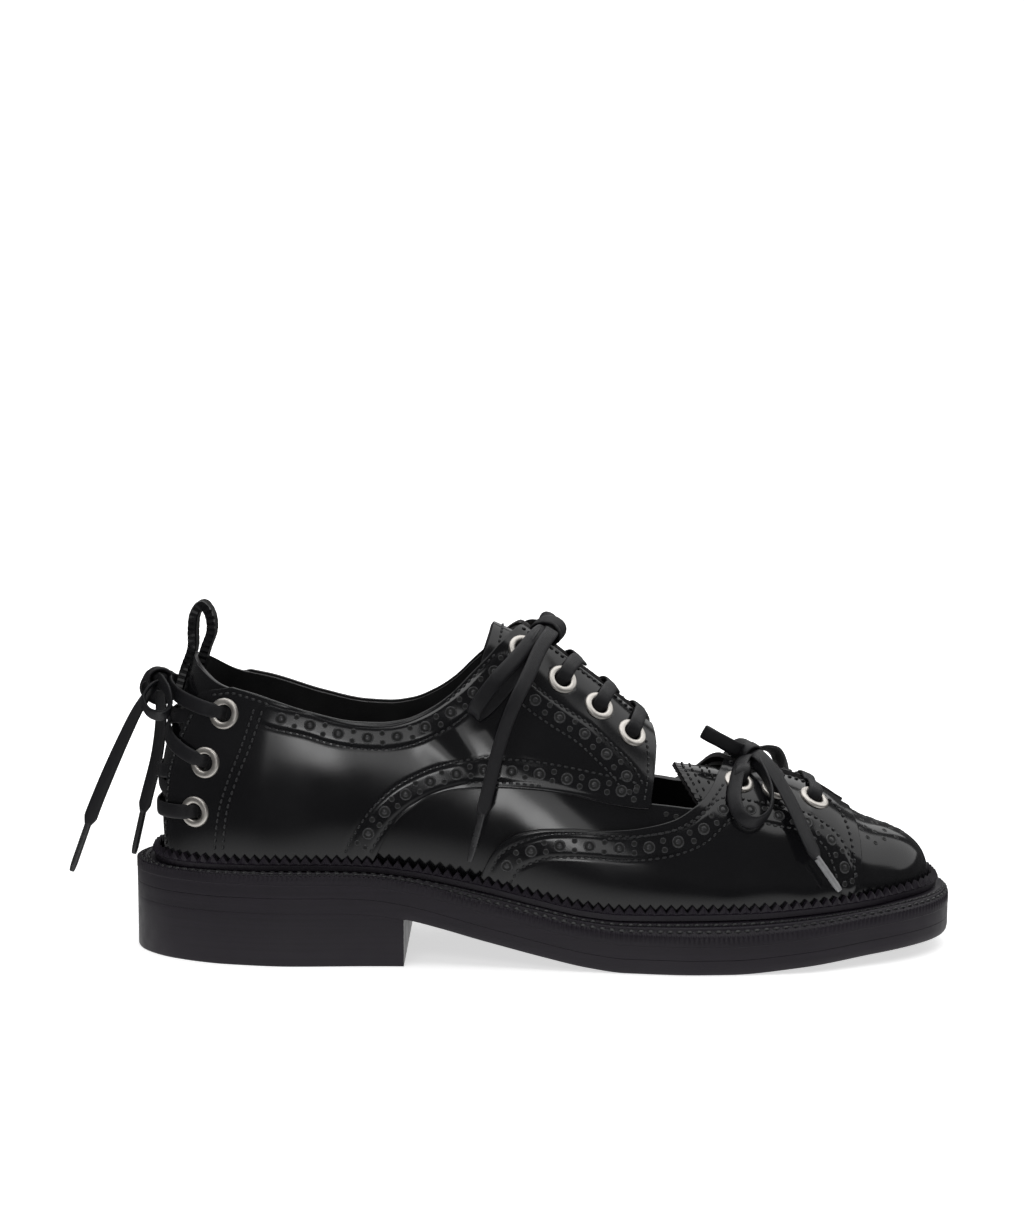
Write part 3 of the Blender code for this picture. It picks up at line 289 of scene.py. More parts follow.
def new_piece(name, points, faces, finishes, index=None, smooth_angle=38.0, uv=None):
    """Mesh object at the origin from millimetre points, with faces turned outwards."""
    corners = np.asarray(points, float) * MM
    a, b, c, d = (corners[[face[min(k, len(face) - 1)] for face in faces]] for k in range(4))
    if (a * (np.cross(b, c) + np.cross(c, d))).sum() < 0.0:
        faces = [tuple(reversed(face)) for face in faces]
        uv = None if uv is None else [list(reversed(ring)) for ring in uv]
    mesh = bpy.data.meshes.new(name)
    mesh.from_pydata(corners.tolist(), [], [list(map(int, face)) for face in faces])
    for finish in finishes:
        mesh.materials.append(finish)
    if index is not None:
        mesh.polygons.foreach_set("material_index", np.asarray(index, np.int32))
    if uv is not None:
        layer = mesh.uv_layers.new(name="run")
        layer.data.foreach_set("uv", np.array([c for ring in uv for c in ring], np.float32).ravel())
    mesh.shade_smooth()
    mesh.set_sharp_from_angle(angle=math.radians(smooth_angle))
    mesh.update()
    piece = bpy.data.objects.new(name, mesh)
    scene.collection.objects.link(piece)
    return piece


def grid_faces(columns, rows, start=0):
    i, j = np.arange(columns - 1)[:, None], np.arange(rows - 1)[None, :]
    near, far = start + i * rows + j, start + (i + 1) * rows + j
    return np.stack([near, far, far + 1, near + 1], -1).reshape(-1, 4)


def merged(points, faces):
    """Joins points that coincide; faces keep only their different corners."""
    kept, first, inverse = np.unique(np.round(points, 3), axis=0, return_index=True, return_inverse=True)
    rings = []
    for face in inverse.ravel()[faces]:
        ring = list(dict.fromkeys(face.tolist()))
        if len(ring) > 2:
            rings.append(ring)
    return first, rings


def open_edges(rings):
    seen = {}
    for ring in rings:
        for a, b in zip(ring, ring[1:] + ring[:1]):
            key = (a, b) if a < b else (b, a)
            seen[key] = None if key in seen else (a, b)
    return [edge for edge in seen.values() if edge is not None]


def nearest(points, targets):
    """Distance from each point to the nearest target."""
    tree = KDTree(len(targets))
    for k, target in enumerate(targets):
        tree.insert(target, k)
    tree.balance()
    return np.array([tree.find(point)[2] for point in points])


def leather_sheet(name, outer, inner, faces, finishes, round_off=0.45):
    """Closed sheet: outer face, inner face and cut edges have a finish each."""
    first, rings = merged(outer, faces)
    outer, inner = outer[first], inner[first]
    edges = open_edges(rings)
    rim = sorted({k for edge in edges for k in edge})
    inside = np.clip(1.0 - nearest(outer, outer[rim]) / round_off, 0.0, 1.0)
    drop = round_off * (1.0 - np.sqrt(np.maximum(1.0 - inside ** 2, 0.0)))
    outer = outer - drop[:, None] * unit(outer - inner)
    count = len(outer)
    bodies = [tuple(ring) for ring in rings] + [tuple(k + count for k in reversed(ring)) for ring in rings]
    bodies += [(b, a, a + count, b + count) for a, b in edges]
    index = [0] * len(rings) + [1] * len(rings) + [2] * len(edges)
    return new_piece(name, np.vstack([outer, inner]), bodies, finishes, index)


def sweep(name, rings, finish, uv_length=None, closed=False, smooth_angle=50.0):
    """Skin over a row of like-numbered closed rings."""
    count, around = rings.shape[:2]
    faces, uv = [], []
    for i in range(count if closed else count - 1):
        a, b = i * around, ((i + 1) % count) * around
        for j in range(around):
            k = (j + 1) % around
            faces.append((a + j, b + j, b + k, a + k))
            if uv_length is not None:
                u0, u1, v0, v1 = uv_length[i], uv_length[i + 1], j / around, (j + 1) / around
                uv.append([(u0, v0), (u1, v0), (u1, v1), (u0, v1)])
    if not closed:
        faces += [tuple(reversed(range(around))), tuple((count - 1) * around + j for j in range(around))]
        if uv_length is not None:
            uv += [[(uv_length[0], 0.0)] * around, [(uv_length[-1], 0.0)] * around]
    return new_piece(name, rings.reshape(-1, 3), faces, [finish], None, smooth_angle, uv or None)


# %% [markdown]
# ## Finishes
# The shoe is almost all black, so its looks come from gloss: polished leather mirrors the pale floor
# and the soft light over it, the sole's inked edges are satin, the laces are waxed and ribbed. One
# group makes the grain that all leathers share, each with its own size and depth.

# %% Grain group
grain = bpy.data.node_groups.new("leather_grain", "ShaderNodeTree")
for socket_name, start in (("Pore size", 1800.0), ("Wave size", 70.0), ("Wave share", 0.5)):
    socket = grain.interface.new_socket(socket_name, in_out="INPUT", socket_type="NodeSocketFloat")
    socket.default_value = start
for socket_name in ("Height", "Patch"):
    grain.interface.new_socket(socket_name, in_out="OUTPUT", socket_type="NodeSocketFloat")


def add(tree, kind, **settings):
    node = tree.nodes.new(kind)
    for key, value in settings.items():
        setattr(node, key, value)
    return node


def link(tree, source, target):
    tree.links.new(source, target)


g_in, g_out = add(grain, "NodeGroupInput"), add(grain, "NodeGroupOutput")
place = add(grain, "ShaderNodeTexCoord")
pores = add(grain, "ShaderNodeTexVoronoi", feature="SMOOTH_F1")
waves = add(grain, "ShaderNodeTexNoise")
waves.inputs["Detail"].default_value = 3.0
blend = add(grain, "ShaderNodeMix", data_type="FLOAT")
for texture, size in ((pores, "Pore size"), (waves, "Wave size")):
    link(grain, place.outputs["Object"], texture.inputs["Vector"])
    link(grain, g_in.outputs[size], texture.inputs["Scale"])
link(grain, g_in.outputs["Wave share"], blend.inputs["Factor"])
link(grain, pores.outputs["Distance"], blend.inputs["A"])
link(grain, waves.outputs["Fac"], blend.inputs["B"])
link(grain, blend.outputs["Result"], g_out.inputs["Height"])
link(grain, waves.outputs["Fac"], g_out.inputs["Patch"])
print("grain group with", len(grain.nodes), "nodes")


# %% Leather, lining, sole, thread, lace and metal
def finish_with_grain(name, dark, light, rough, rough_more, pore, wave, share, bump, bump_size, metallic=0.0):
    """Finish whose colour and roughness drift in patches, while the grain lifts the surface."""
    material = bpy.data.materials.new(name)
    material.use_nodes = True
    tree = material.node_tree
    shader = tree.nodes["Principled BSDF"]
    skin = add(tree, "ShaderNodeGroup", node_tree=grain)
    tint = add(tree, "ShaderNodeMix", data_type="RGBA")
    gloss = add(tree, "ShaderNodeMapRange")
    lift = add(tree, "ShaderNodeBump")
    for node, values in ((skin, {"Pore size": pore, "Wave size": wave, "Wave share": share}),
                         (tint, {"A": (*dark, 1.0), "B": (*light, 1.0)}),
                         (gloss, {"From Min": 0.35, "From Max": 0.7, "To Min": rough, "To Max": rough + rough_more}),
                         (lift, {"Strength": bump, "Distance": bump_size}), (shader, {"Metallic": metallic})):
        for key, value in values.items():
            node.inputs[key].default_value = value
    link(tree, skin.outputs["Patch"], tint.inputs["Factor"])
    link(tree, skin.outputs["Patch"], gloss.inputs["Value"])
    link(tree, skin.outputs["Height"], lift.inputs["Height"])
    link(tree, tint.outputs["Result"], shader.inputs["Base Color"])
    link(tree, gloss.outputs["Result"], shader.inputs["Roughness"])
    link(tree, lift.outputs["Normal"], shader.inputs["Normal"])
    return material


polished = finish_with_grain("polished_leather", (0.004, 0.004, 0.0045), (0.007, 0.007, 0.008),
                             0.115, 0.05, 2600.0, 55.0, 0.75, 0.07, 0.00012)
# Cut edges are lighter than the grain face: painted highlight for the thin light line along the edges.
cut_edge_highlight = finish_with_grain("cut_edge_painted_highlight", (0.022, 0.021, 0.022), (0.042, 0.040, 0.042),
                             0.36, 0.15, 3200.0, 400.0, 0.5, 0.3, 0.00015)
lining = finish_with_grain("matt_lining", (0.006, 0.006, 0.0065), (0.012, 0.0115, 0.012),
                           0.5, 0.15, 2400.0, 120.0, 0.4, 0.25, 0.00015)
thread = finish_with_grain("waxed_thread", (0.010, 0.010, 0.011), (0.022, 0.022, 0.024),
                           0.28, 0.1, 6000.0, 900.0, 0.3, 0.3, 0.0001)
# Near black and matt: painted shade for the insides of punched holes and slits, laid on the leather as thin discs and
# dashes.
hole_shade = finish_with_grain("painted_shade_in_holes", (0.0015, 0.0015, 0.0015), (0.003, 0.003, 0.003),
                            0.6, 0.2, 4000.0, 500.0, 0.5, 0.2, 0.0001)
nickel = finish_with_grain("brushed_nickel", (0.60, 0.57, 0.53), (0.74, 0.71, 0.67),
                           0.36, 0.12, 2200.0, 420.0, 0.6, 0.1, 0.0001, metallic=1.0)
# Lighter than the leather round it: painted highlight on the raised punch rims and painted reflection on the plugs in
# the big punches.
punch_highlight = finish_with_grain("painted_punch_highlight", (0.016, 0.016, 0.017), (0.034, 0.034, 0.036),
                              0.2, 0.1, 2600.0, 300.0, 0.6, 0.1, 0.0001)
# One tip material in two copies: the dark one is its own colour, the pale one is the same tip lightened as painted
# highlight, for the vamp tips that face up to the light.
dark_tip = finish_with_grain("dark_lace_tip", (0.016, 0.016, 0.017), (0.030, 0.030, 0.032),
                             0.2, 0.1, 2200.0, 420.0, 0.6, 0.08, 0.0001)
tip_painted_highlight = finish_with_grain("lace_tip_painted_highlight", (0.15, 0.15, 0.155), (0.24, 0.24, 0.245),
                             0.24, 0.12, 2200.0, 420.0, 0.6, 0.08, 0.0001)


def sole_finish():
    """Inked leather edge: long level streaks of the pressed layers, satin, a little purple."""
    material = finish_with_grain("inked_sole_edge", (0.0088, 0.0064, 0.0108), (0.014, 0.0104, 0.0168),
                                 0.40, 0.12, 1500.0, 160.0, 0.6, 0.2, 0.00015)
    tree = material.node_tree
    shader = tree.nodes["Principled BSDF"]
    place = add(tree, "ShaderNodeTexCoord")
    level = add(tree, "ShaderNodeMapping")
    level.inputs["Scale"].default_value = (14.0, 14.0, 900.0)
    layers = add(tree, "ShaderNodeTexNoise")
    layers.inputs["Scale"].default_value = 1.0
    layers.inputs["Detail"].default_value = 4.0
    streak = add(tree, "ShaderNodeMix", data_type="RGBA", blend_type="MULTIPLY")
    streak.inputs["Factor"].default_value = 0.35
    ramp = add(tree, "ShaderNodeValToRGB")
    ramp.color_ramp.elements[0].position = 0.35
    ramp.color_ramp.elements[0].color = (0.5, 0.5, 0.5, 1.0)
    ramp.color_ramp.elements[1].position = 0.6
    shader.inputs["Specular IOR Level"].default_value = 0.3
    tint = shader.inputs["Base Color"].links[0].from_socket
    link(tree, place.outputs["Object"], level.inputs["Vector"])
    link(tree, level.outputs["Vector"], layers.inputs["Vector"])
    link(tree, layers.outputs["Fac"], ramp.inputs["Fac"])
    link(tree, tint, streak.inputs["A"])
    link(tree, ramp.outputs["Color"], streak.inputs["B"])
    link(tree, streak.outputs["Result"], shader.inputs["Base Color"])
    return material


def lace_finish():
    """Flat waxed lace: slanting ribs across its run, read from the lace's own map."""
    material = bpy.data.materials.new("waxed_lace")
    material.use_nodes = True
    tree = material.node_tree
    shader = tree.nodes["Principled BSDF"]
    run = add(tree, "ShaderNodeUVMap", uv_map="run")
    turn = add(tree, "ShaderNodeMapping")
    turn.inputs["Scale"].default_value = (1.0, 3.0, 1.0)
    ribs = add(tree, "ShaderNodeTexWave", wave_type="BANDS", bands_direction="DIAGONAL")
    ribs.inputs["Scale"].default_value = 2.6
    ribs.inputs["Distortion"].default_value = 0.6
    tint = add(tree, "ShaderNodeMix", data_type="RGBA")
    tint.inputs["A"].default_value = (0.0040, 0.0040, 0.0050, 1.0)
    tint.inputs["B"].default_value = (0.0115, 0.0112, 0.0135, 1.0)
    lift = add(tree, "ShaderNodeBump")
    lift.inputs["Strength"].default_value = 0.3
    lift.inputs["Distance"].default_value = 0.00025
    link(tree, run.outputs["UV"], turn.inputs["Vector"])
    link(tree, turn.outputs["Vector"], ribs.inputs["Vector"])
    link(tree, ribs.outputs["Fac"], tint.inputs["Factor"])
    link(tree, ribs.outputs["Fac"], lift.inputs["Height"])
    link(tree, tint.outputs["Result"], shader.inputs["Base Color"])
    link(tree, lift.outputs["Normal"], shader.inputs["Normal"])
    shader.inputs["Roughness"].default_value = 0.42
    shader.inputs["Specular IOR Level"].default_value = 0.35
    return material


inked_edge, waxed_lace = sole_finish(), lace_finish()
# The third finish, on the cut edges, carries painted highlight.
LEATHER = [polished, lining, cut_edge_highlight]
print("finishes", len(bpy.data.materials))

# %% [markdown]
# ## Sole
# Outsole, midsole and heel are slabs of stacked leather with one plan outline. They repeat the
# packed slabs with finer outlines, worn-off corners and the shallow lines where layers are pressed
# together. A slab is a row of outlines, each moved in by some inset and up by some height.


# %% Outlines of sole and feather line
def inset_line(edge, station, side, inset):
    """Outline moved inwards by an inset, along its level normal."""
    step = 1e-3
    side = np.broadcast_to(np.asarray(side, float), station.shape)
    run = edge(np.minimum(station + step, 1.0), side) - edge(np.maximum(station - step, 0.0), side)
    tip = (station <= 1e-6) | (station >= 1.0 - 1e-6)
    across = np.stack([np.zeros(station.shape), np.where(station < 0.5, side, -side)], -1)
    run = np.where(tip[:, None], across, run)
    inward = np.stack([run[:, 1], -run[:, 0]], -1) * side[:, None]
    return edge(station, side) + inset * unit(inward)


def sole_plan(station, side):
    return np.stack([SOLE_LENGTH * (along_of(station) - 0.5),
                     SOLE_SWING(station) - CENTRE + side * SOLE_HALF(station)], -1)


def feather_plan(station, side):
    return np.stack([last_x(station), SWING(station) - CENTRE + side * HALF(station)], -1)


def slab(name, stations, layers):
    rings = []
    for inset, height in layers:
        ring = np.vstack([inset_line(sole_plan, places, side, inset(places) if callable(inset) else inset)
                          for places, side in ((stations, LATERAL), (stations[::-1], MEDIAL))])
        rings.append(np.column_stack([ring, height(ring[:, 0])]))
    points = np.vstack(rings)
    around, half = 2 * len(stations), len(stations)
    i = np.arange(around)
    faces = [np.stack([k * around + i, k * around + (i + 1) % around, (k + 1) * around + (i + 1) % around,
                       (k + 1) * around + i], -1) for k in range(len(layers) - 1)]
    i = np.arange(half - 1)
    for start in (0, (len(layers) - 1) * around):
        faces.append(np.stack([start + i, start + i + 1, start + around - 2 - i, start + around - 1 - i], -1))
    first, rings = merged(points, np.vstack(faces))
    return new_piece(name, points[first], rings, [inked_edge], None, 30.0)


def above(rise):
    return lambda x: UNDERSIDE(x) + rise


def heel_level(share):
    return lambda x: share * (UNDERSIDE(x) - 0.05)


# %% Outsole, midsole and heel
stations = np.unique(np.round(np.concatenate([np.linspace(0.0, 1.0, 181), sole_station(SOLE_SIDE[1:-1, 0])]), 6))
breast = float(sole_station(-46.5))
heel_stations = np.append(stations[stations < breast - 1e-4], breast)


def worn(inset):
    """Corner rounded by wear, except over the heel, where the outsole stays flush with it."""
    return lambda s: np.where(s < breast, 0.15, inset)[:, None]


SLABS = {
    "outsole": (stations, [(inset, above(rise)) for inset, rise in (
        (worn(1.3), 0.0), (worn(0.75), 0.15), (worn(0.42), 0.6), (worn(0.25), 1.4), (0.15, 2.2), (0.14, 2.6),
        (0.14, 4.8), (0.14, 4.92), (0.16, 4.98), (0.3, 5.04))]),
    "midsole": (stations, [(inset, above(rise)) for inset, rise in (
        (0.28, 5.06), (0.14, 5.1), (0.12, 5.18), (0.12, 5.3), (0.1, 9.2), (0.1, 9.36), (0.08, 9.42), (0.0, 9.5))]),
    "heel": (heel_stations, [(inset, heel_level(share)) for inset, share in (
        (0.45, 0.0), (0.2, 0.02), (0.15, 0.06), (0.15, 0.12), (0.15, 0.9), (0.15, 0.985), (0.17, 1.0))])}
for node, (places, layers) in SLABS.items():
    piece = dress(slab(node + "_dressed", places, layers), "sole_leather", node)
    print(node, "faces", len(piece.data.polygons))

# %% [markdown]
# ## Welt and rand
# The welt is the strip that stands out round the upper. It slopes down to its rim, a wheel has pressed
# notches into the rim, and two rows of lock-stitch lie on it with a raised bead between them. On it
# stands the rand, a saw-toothed strip. Both are swept round the outline, with the teeth and notches in
# the swept rings themselves, because they have no edge of their own.


# %% Welt
WELT_SHOULDER, NOTCH_PITCH = 4.6, 1.6
WELT_SIDE = ((-3.45, 0.0), (-2.3, 0.0), (-1.5, 0.22), (-0.5, 0.42))  # height under the rim, notch
WELT_SLOPE = (  # share of the way from rim to shoulder, relief, notch
    (0.02, -0.1, 0.5), (0.10, 0.0, 0.45), (0.21, 0.0, 0.3), (0.28, -0.14, 0.0), (0.35, -0.22, 0.0),
    (0.42, 0.0, 0.0), (0.49, 0.28, 0.0), (0.56, 0.38, 0.0), (0.63, 0.28, 0.0), (0.70, 0.0, 0.0), (0.77, -0.22, 0.0),
    (0.84, 0.0, 0.0), (1.0, 0.0, 0.0))


def round_the_sole(pitch, per=1):
    """Stations and sides of even places round the rim, some for each pitch."""
    place = np.linspace(0.0, 2.0, 4001)
    rim = sole_plan(np.minimum(place, 2.0 - place), np.where(place <= 1.0, LATERAL, MEDIAL))
    along = length_along(rim)
    count = per * int(round(along[-1] / pitch))
    place = np.interp(np.linspace(0.0, along[-1], count, endpoint=False), along, place)
    return np.minimum(place, 2.0 - place), np.where(place <= 1.0, LATERAL, MEDIAL)


def welt_frame(s, side):
    """Rim, way in from it to the shoulder, and the directions off the slope, inwards and along."""
    rim = sole_plan(s, side)
    rim = np.column_stack([rim, UNDERSIDE(rim[:, 0]) + WELT_TOP])
    shoulder = inset_line(feather_plan, s, side, -WELT_SHOULDER)
    way = np.column_stack([shoulder, FEATHER(shoulder[:, 0]) - SEAT_GAP]) - rim
    run = unit(np.roll(rim, -1, 0) - np.roll(rim, 1, 0))
    off = np.cross(run, way)
    return rim, way, unit(off * np.sign(off[:, 2:])), unit(way * np.array([1.0, 1.0, 0.0])), run


s, side = round_the_sole(NOTCH_PITCH, 4)
rim, way, off, inward, _ = welt_frame(s, side)
notch = np.array([0.0, 0.15, 1.0, 0.85])[np.arange(len(s)) % 4][:, None]
rows = [rim + UP * height + inward * cut * notch for height, cut in WELT_SIDE]
rows += [rim + way * share + off * (relief - cut * notch) for share, relief, cut in WELT_SLOPE]
seat = inset_line(feather_plan, s, side, 6.8)
rows += [np.column_stack([seat, FEATHER(seat[:, 0]) - SEAT_GAP]), np.column_stack([seat, UNDERSIDE(seat[:, 0]) + WELT_FOOT])]
welt = dress(sweep("welt_dressed", np.stack(rows, 1), inked_edge, closed=True), "sole_leather", "welt")
print("welt notches", len(s) // 4, "faces", len(welt.data.polygons))

# %% Rand with saw teeth
RAND_PITCH, RAND_END = 3.4, 0.968
RAND_VALLEY = ((2.1, 2.7), (3.7, 2.6), (4.2, 2.3), (3.6, 1.9), (3.4, 0.05), (2.1, 0.05))  # out, up
RAND_TIP = ((2.1, 4.9), (3.5, 4.8), (4.45, 2.7), (3.6, 1.9), (3.4, 0.05), (2.1, 0.05))


def rand_line():
    """Foot of the upper with the level direction away from it, evenly spaced round the shoe."""
    s = np.linspace(0.0, RAND_END, 160)
    foot = FEATHER(last_x(s))
    rise = np.minimum(2.5, 0.8 * RISE(s))
    turn = turn_where(s, lambda point: point[..., 2] >= foot + rise)
    near, far = last_point(s, turn, LATERAL), last_point(s, turn, MEDIAL)
    loop = np.vstack([near, far[:0:-1]])
    loop[:, 2] = np.concatenate([foot, foot[:0:-1]])
    loop = spline(loop, 4, closed=True)
    loop = np.vstack([loop, loop[:1]])
    teeth = int(round(length_along(loop)[-1] / RAND_PITCH))
    line = resample(loop, 4 * teeth + 1)[:-1]
    run = np.roll(line, -1, 0) - np.roll(line, 1, 0)
    away = unit(np.stack([run[:, 1], -run[:, 0], np.zeros(len(run))], -1))
    return line, away, teeth


foot, away, teeth = rand_line()
tooth = 1.0 - np.abs(2.0 * ((np.arange(len(foot)) % 4) / 4.0) - 1.0)
nearer = smooth_step(foot[:, 0], 106.0, 120.0)
rows = []
for low, high in zip(RAND_VALLEY, RAND_TIP):
    out = low[0] + tooth * (high[0] - low[0]) - nearer
    rise = low[1] + tooth * (high[1] - low[1])
    rows.append(foot + away * out[:, None] + UP * rise[:, None])
dress(sweep("rand_dressed", np.stack(rows, 1), inked_edge, closed=True, smooth_angle=24.0), "sole_leather", "rand")
print("rand teeth", teeth)

# %% [markdown]
# ## Setting small things along lines
# Stitches and punches are one small mesh each, set at many points with a direction and an outward
# normal. A Geometry Nodes tree does it: the points carry both directions as attributes, each instance
# is turned to them, and the instances are realized so that they are plain mesh.

# %% The tree that sets pieces along points
setter = bpy.data.node_groups.new("set_along_points", "GeometryNodeTree")
for socket_name, kind in (("Geometry", "NodeSocketGeometry"), ("Piece", "NodeSocketObject"),
                          ("Finish", "NodeSocketMaterial"), ("Size", "NodeSocketFloat")):
    setter.interface.new_socket(socket_name, in_out="INPUT", socket_type=kind)
setter.interface.new_socket("Geometry", in_out="OUTPUT", socket_type="NodeSocketGeometry")
s_in, s_out = add(setter, "NodeGroupInput"), add(setter, "NodeGroupOutput")
to_points = add(setter, "GeometryNodeMeshToPoints")
piece_info = add(setter, "GeometryNodeObjectInfo", transform_space="ORIGINAL")
axes = add(setter, "FunctionNodeAxesToRotation", primary_axis="Z", secondary_axis="X")
outward = add(setter, "GeometryNodeInputNamedAttribute", data_type="FLOAT_VECTOR")
outward.inputs["Name"].default_value = "outward"
run_dir = add(setter, "GeometryNodeInputNamedAttribute", data_type="FLOAT_VECTOR")
run_dir.inputs["Name"].default_value = "run"
instances = add(setter, "GeometryNodeInstanceOnPoints")
realize = add(setter, "GeometryNodeRealizeInstances")
dressing = add(setter, "GeometryNodeSetMaterial")
for source, target in ((s_in.outputs["Geometry"], to_points.inputs["Mesh"]),
                       (to_points.outputs["Points"], instances.inputs["Points"]),
                       (s_in.outputs["Piece"], piece_info.inputs["Object"]),
                       (piece_info.outputs["Geometry"], instances.inputs["Instance"]),
                       (outward.outputs["Attribute"], axes.inputs["Primary Axis"]),
                       (run_dir.outputs["Attribute"], axes.inputs["Secondary Axis"]),
                       (axes.outputs["Rotation"], instances.inputs["Rotation"]),
                       (s_in.outputs["Size"], instances.inputs["Scale"]),
                       (instances.outputs["Instances"], realize.inputs["Geometry"]),
                       (realize.outputs["Geometry"], dressing.inputs["Geometry"]),
                       (s_in.outputs["Finish"], dressing.inputs["Material"]),
                       (dressing.outputs["Geometry"], s_out.inputs["Geometry"])):
    link(setter, source, target)
SOCKETS = {item.name: item.identifier for item in setter.interface.items_tree if item.in_out == "INPUT"}


def set_along(name, master, finish, rows, slot="upper_leather", size=1.0):
    """Plain mesh of a master set at millimetre points; each row has points, outward and run directions."""
    points, outward, run = (np.vstack([np.broadcast_to(row[k], row[0].shape) for row in rows]) for k in range(3))
    mesh = bpy.data.meshes.new(name + "_points")
    mesh.from_pydata((points * MM).tolist(), [], [])
    for key, vectors in (("outward", outward), ("run", run)):
        layer = mesh.attributes.new(key, "FLOAT_VECTOR", "POINT")
        layer.data.foreach_set("vector", np.asarray(vectors, np.float32).ravel())
    carrier = bpy.data.objects.new(name + "_points", mesh)
    scene.collection.objects.link(carrier)
    step = carrier.modifiers.new("set", "NODES")
    step.node_group = setter
    step[SOCKETS["Piece"]] = master
    step[SOCKETS["Finish"]] = finish
    step[SOCKETS["Size"]] = size
    graph = bpy.context.evaluated_depsgraph_get()
    made = bpy.data.meshes.new_from_object(carrier.evaluated_get(graph))
    made.name = name
    carrier.modifiers.remove(step)
    bpy.data.objects.remove(carrier)
    piece = bpy.data.objects.new(name, made)
    scene.collection.objects.link(piece)
    print(name, len(points), "set,", len(made.polygons), "faces")
    return dress(piece, slot)


# %% Small masters: stitches and turned rings
def master(name, rings, caps=True):
    """Small mesh that will be set many times; it is taken away again at the end."""
    rings = np.asarray(rings, float)
    count, around = rings.shape[:2]
    j = np.arange(around)
    faces = [tuple(f) for f in np.concatenate([
        np.stack([i * around + j, i * around + (j + 1) % around, (i + 1) * around + (j + 1) % around,
                  (i + 1) * around + j], -1) for i in range(count - 1)])]
    if caps:
        faces += [tuple(reversed(range(around))), tuple((count - 1) * around + k for k in range(around))]
    mesh = bpy.data.meshes.new(name)
    mesh.from_pydata((rings.reshape(-1, 3) * MM).tolist(), [], faces)
    mesh.shade_smooth()
    mesh.set_sharp_from_angle(angle=math.radians(50.0))
    piece = bpy.data.objects.new(name, mesh)
    scene.collection.objects.link(piece)
    return piece


def stitch_master(name, length, thick):
    """Stitch: a short thread that dives into the leather at both ends."""
    rows = []
    angle = np.linspace(0.0, 2.0 * math.pi, 6, endpoint=False)
    for share in np.linspace(-1.0, 1.0, 6):
        swell = math.sqrt(max(1.0 - share ** 4, 0.03))
        height = thick * 0.32 * swell - thick * 0.25 * share ** 2
        rows.append(np.stack([np.full(6, share * length / 2.0), np.cos(angle) * thick / 2.0 * swell,
                              height + np.sin(angle) * thick / 2.0 * swell], -1))
    return master(name, rows)


def ring_master(name, profile, around=14):
    """Turned ring, from the outside in; profile rows are radius and height."""
    angle = np.linspace(0.0, 2.0 * math.pi, around, endpoint=False)
    return master(name, [np.stack([np.cos(angle) * radius, np.sin(angle) * radius, np.full(around, height)], -1)
                         for radius, height in profile], caps=False)


masters = {
    "welt_stitch": stitch_master("welt_stitch", 2.7, 0.85),
    "seam_stitch": stitch_master("seam_stitch", 1.7, 0.78),
    "big_rim": ring_master("big_rim", ((2.1, -0.12), (2.0, 0.08), (1.82, 0.17), (1.62, 0.12), (1.5, -0.02))),
    # These are thin flat discs on the leather: painted shade for the punch holes.
    "big_hollow": ring_master("big_hollow", ((1.6, 0.06), (1.3, 0.04), (1.0, 0.04), (0.86, 0.06))),
    # The plug's lighter finish is painted reflection in the middle of a big punch.
    "big_plug": ring_master("big_plug", ((0.98, -0.02), (0.82, 0.1), (0.5, 0.16), (0.02, 0.18))),
    "small_rim": ring_master("small_rim", ((1.05, -0.08), (0.95, 0.06), (0.8, 0.11), (0.66, 0.05)), 10),
    "small_hollow": ring_master("small_hollow", ((0.76, 0.08), (0.4, 0.05), (0.02, 0.04)), 10),
    "dash": stitch_master("dash", 1.9, 0.7)}


# %% Stitches of the welt
def welt_row(share, pitch):
    rim, way, off, _, run = welt_frame(*round_the_sole(pitch))
    return rim + way * share - off * 0.2, off, run


set_along("welt_stitches", masters["welt_stitch"], thread, [welt_row(0.33, 3.2), welt_row(0.78, 3.2)], "sole_leather")

# %% [markdown]
# ## Lines on the upper
# The edges of the leather and the middle lines of the punched bands were read off the side view, in
# x and z. Each is carried onto the last by looking for the station and turn that the side view shows there.

# %% Edges of the leather in the side view: x and z
COLLAR_EDGE = [(-121.0, 101.6), (-116.0, 97.6), (-108.0, 92.4), (-95.0, 88.8), (-78.0, 83.4), (-62.0, 80.1),
               (-54.0, 79.8), (-46.0, 80.9), (-38.0, 84.2), (-31.0, 88.9), (-24.5, 95.3), (-19.0, 100.5),
               (-14.0, 105.8), (-9.0, 109.4), (-3.0, 110.8), (4.0, 111.0)]
CUT_OUT_EDGE = [(35.2, 54.0), (43.0, 53.0), (49.0, 52.2), (53.6, 53.4), (57.2, 57.4), (60.0, 60.4), (66.0, 62.0)]
QUARTER_CORNERS = [(-118.0, 83.0), (-115.5, 87.0), (-112.0, 89.6), (-106.0, 90.8), (-96.0, 93.0), (-60.0, 120.0),
                   (4.0, 120.0), (27.0, 92.0), (32.0, 81.6), (34.8, 78.0), (36.4, 74.0), (36.9, 70.5)]
QUARTER_ARCH = [(-59.0, 26.0), (-57.4, 32.0), (-55.5, 36.5), (-49.0, 47.6), (-44.0, 52.0), (-37.0, 56.2),
                (-29.0, 58.2), (-15.0, 58.9), (-4.0, 58.4), (8.5, 56.9), (21.0, 54.0), (34.0, 52.2), (35.3, 58.0),
                (36.3, 65.0), (36.9, 70.3)]
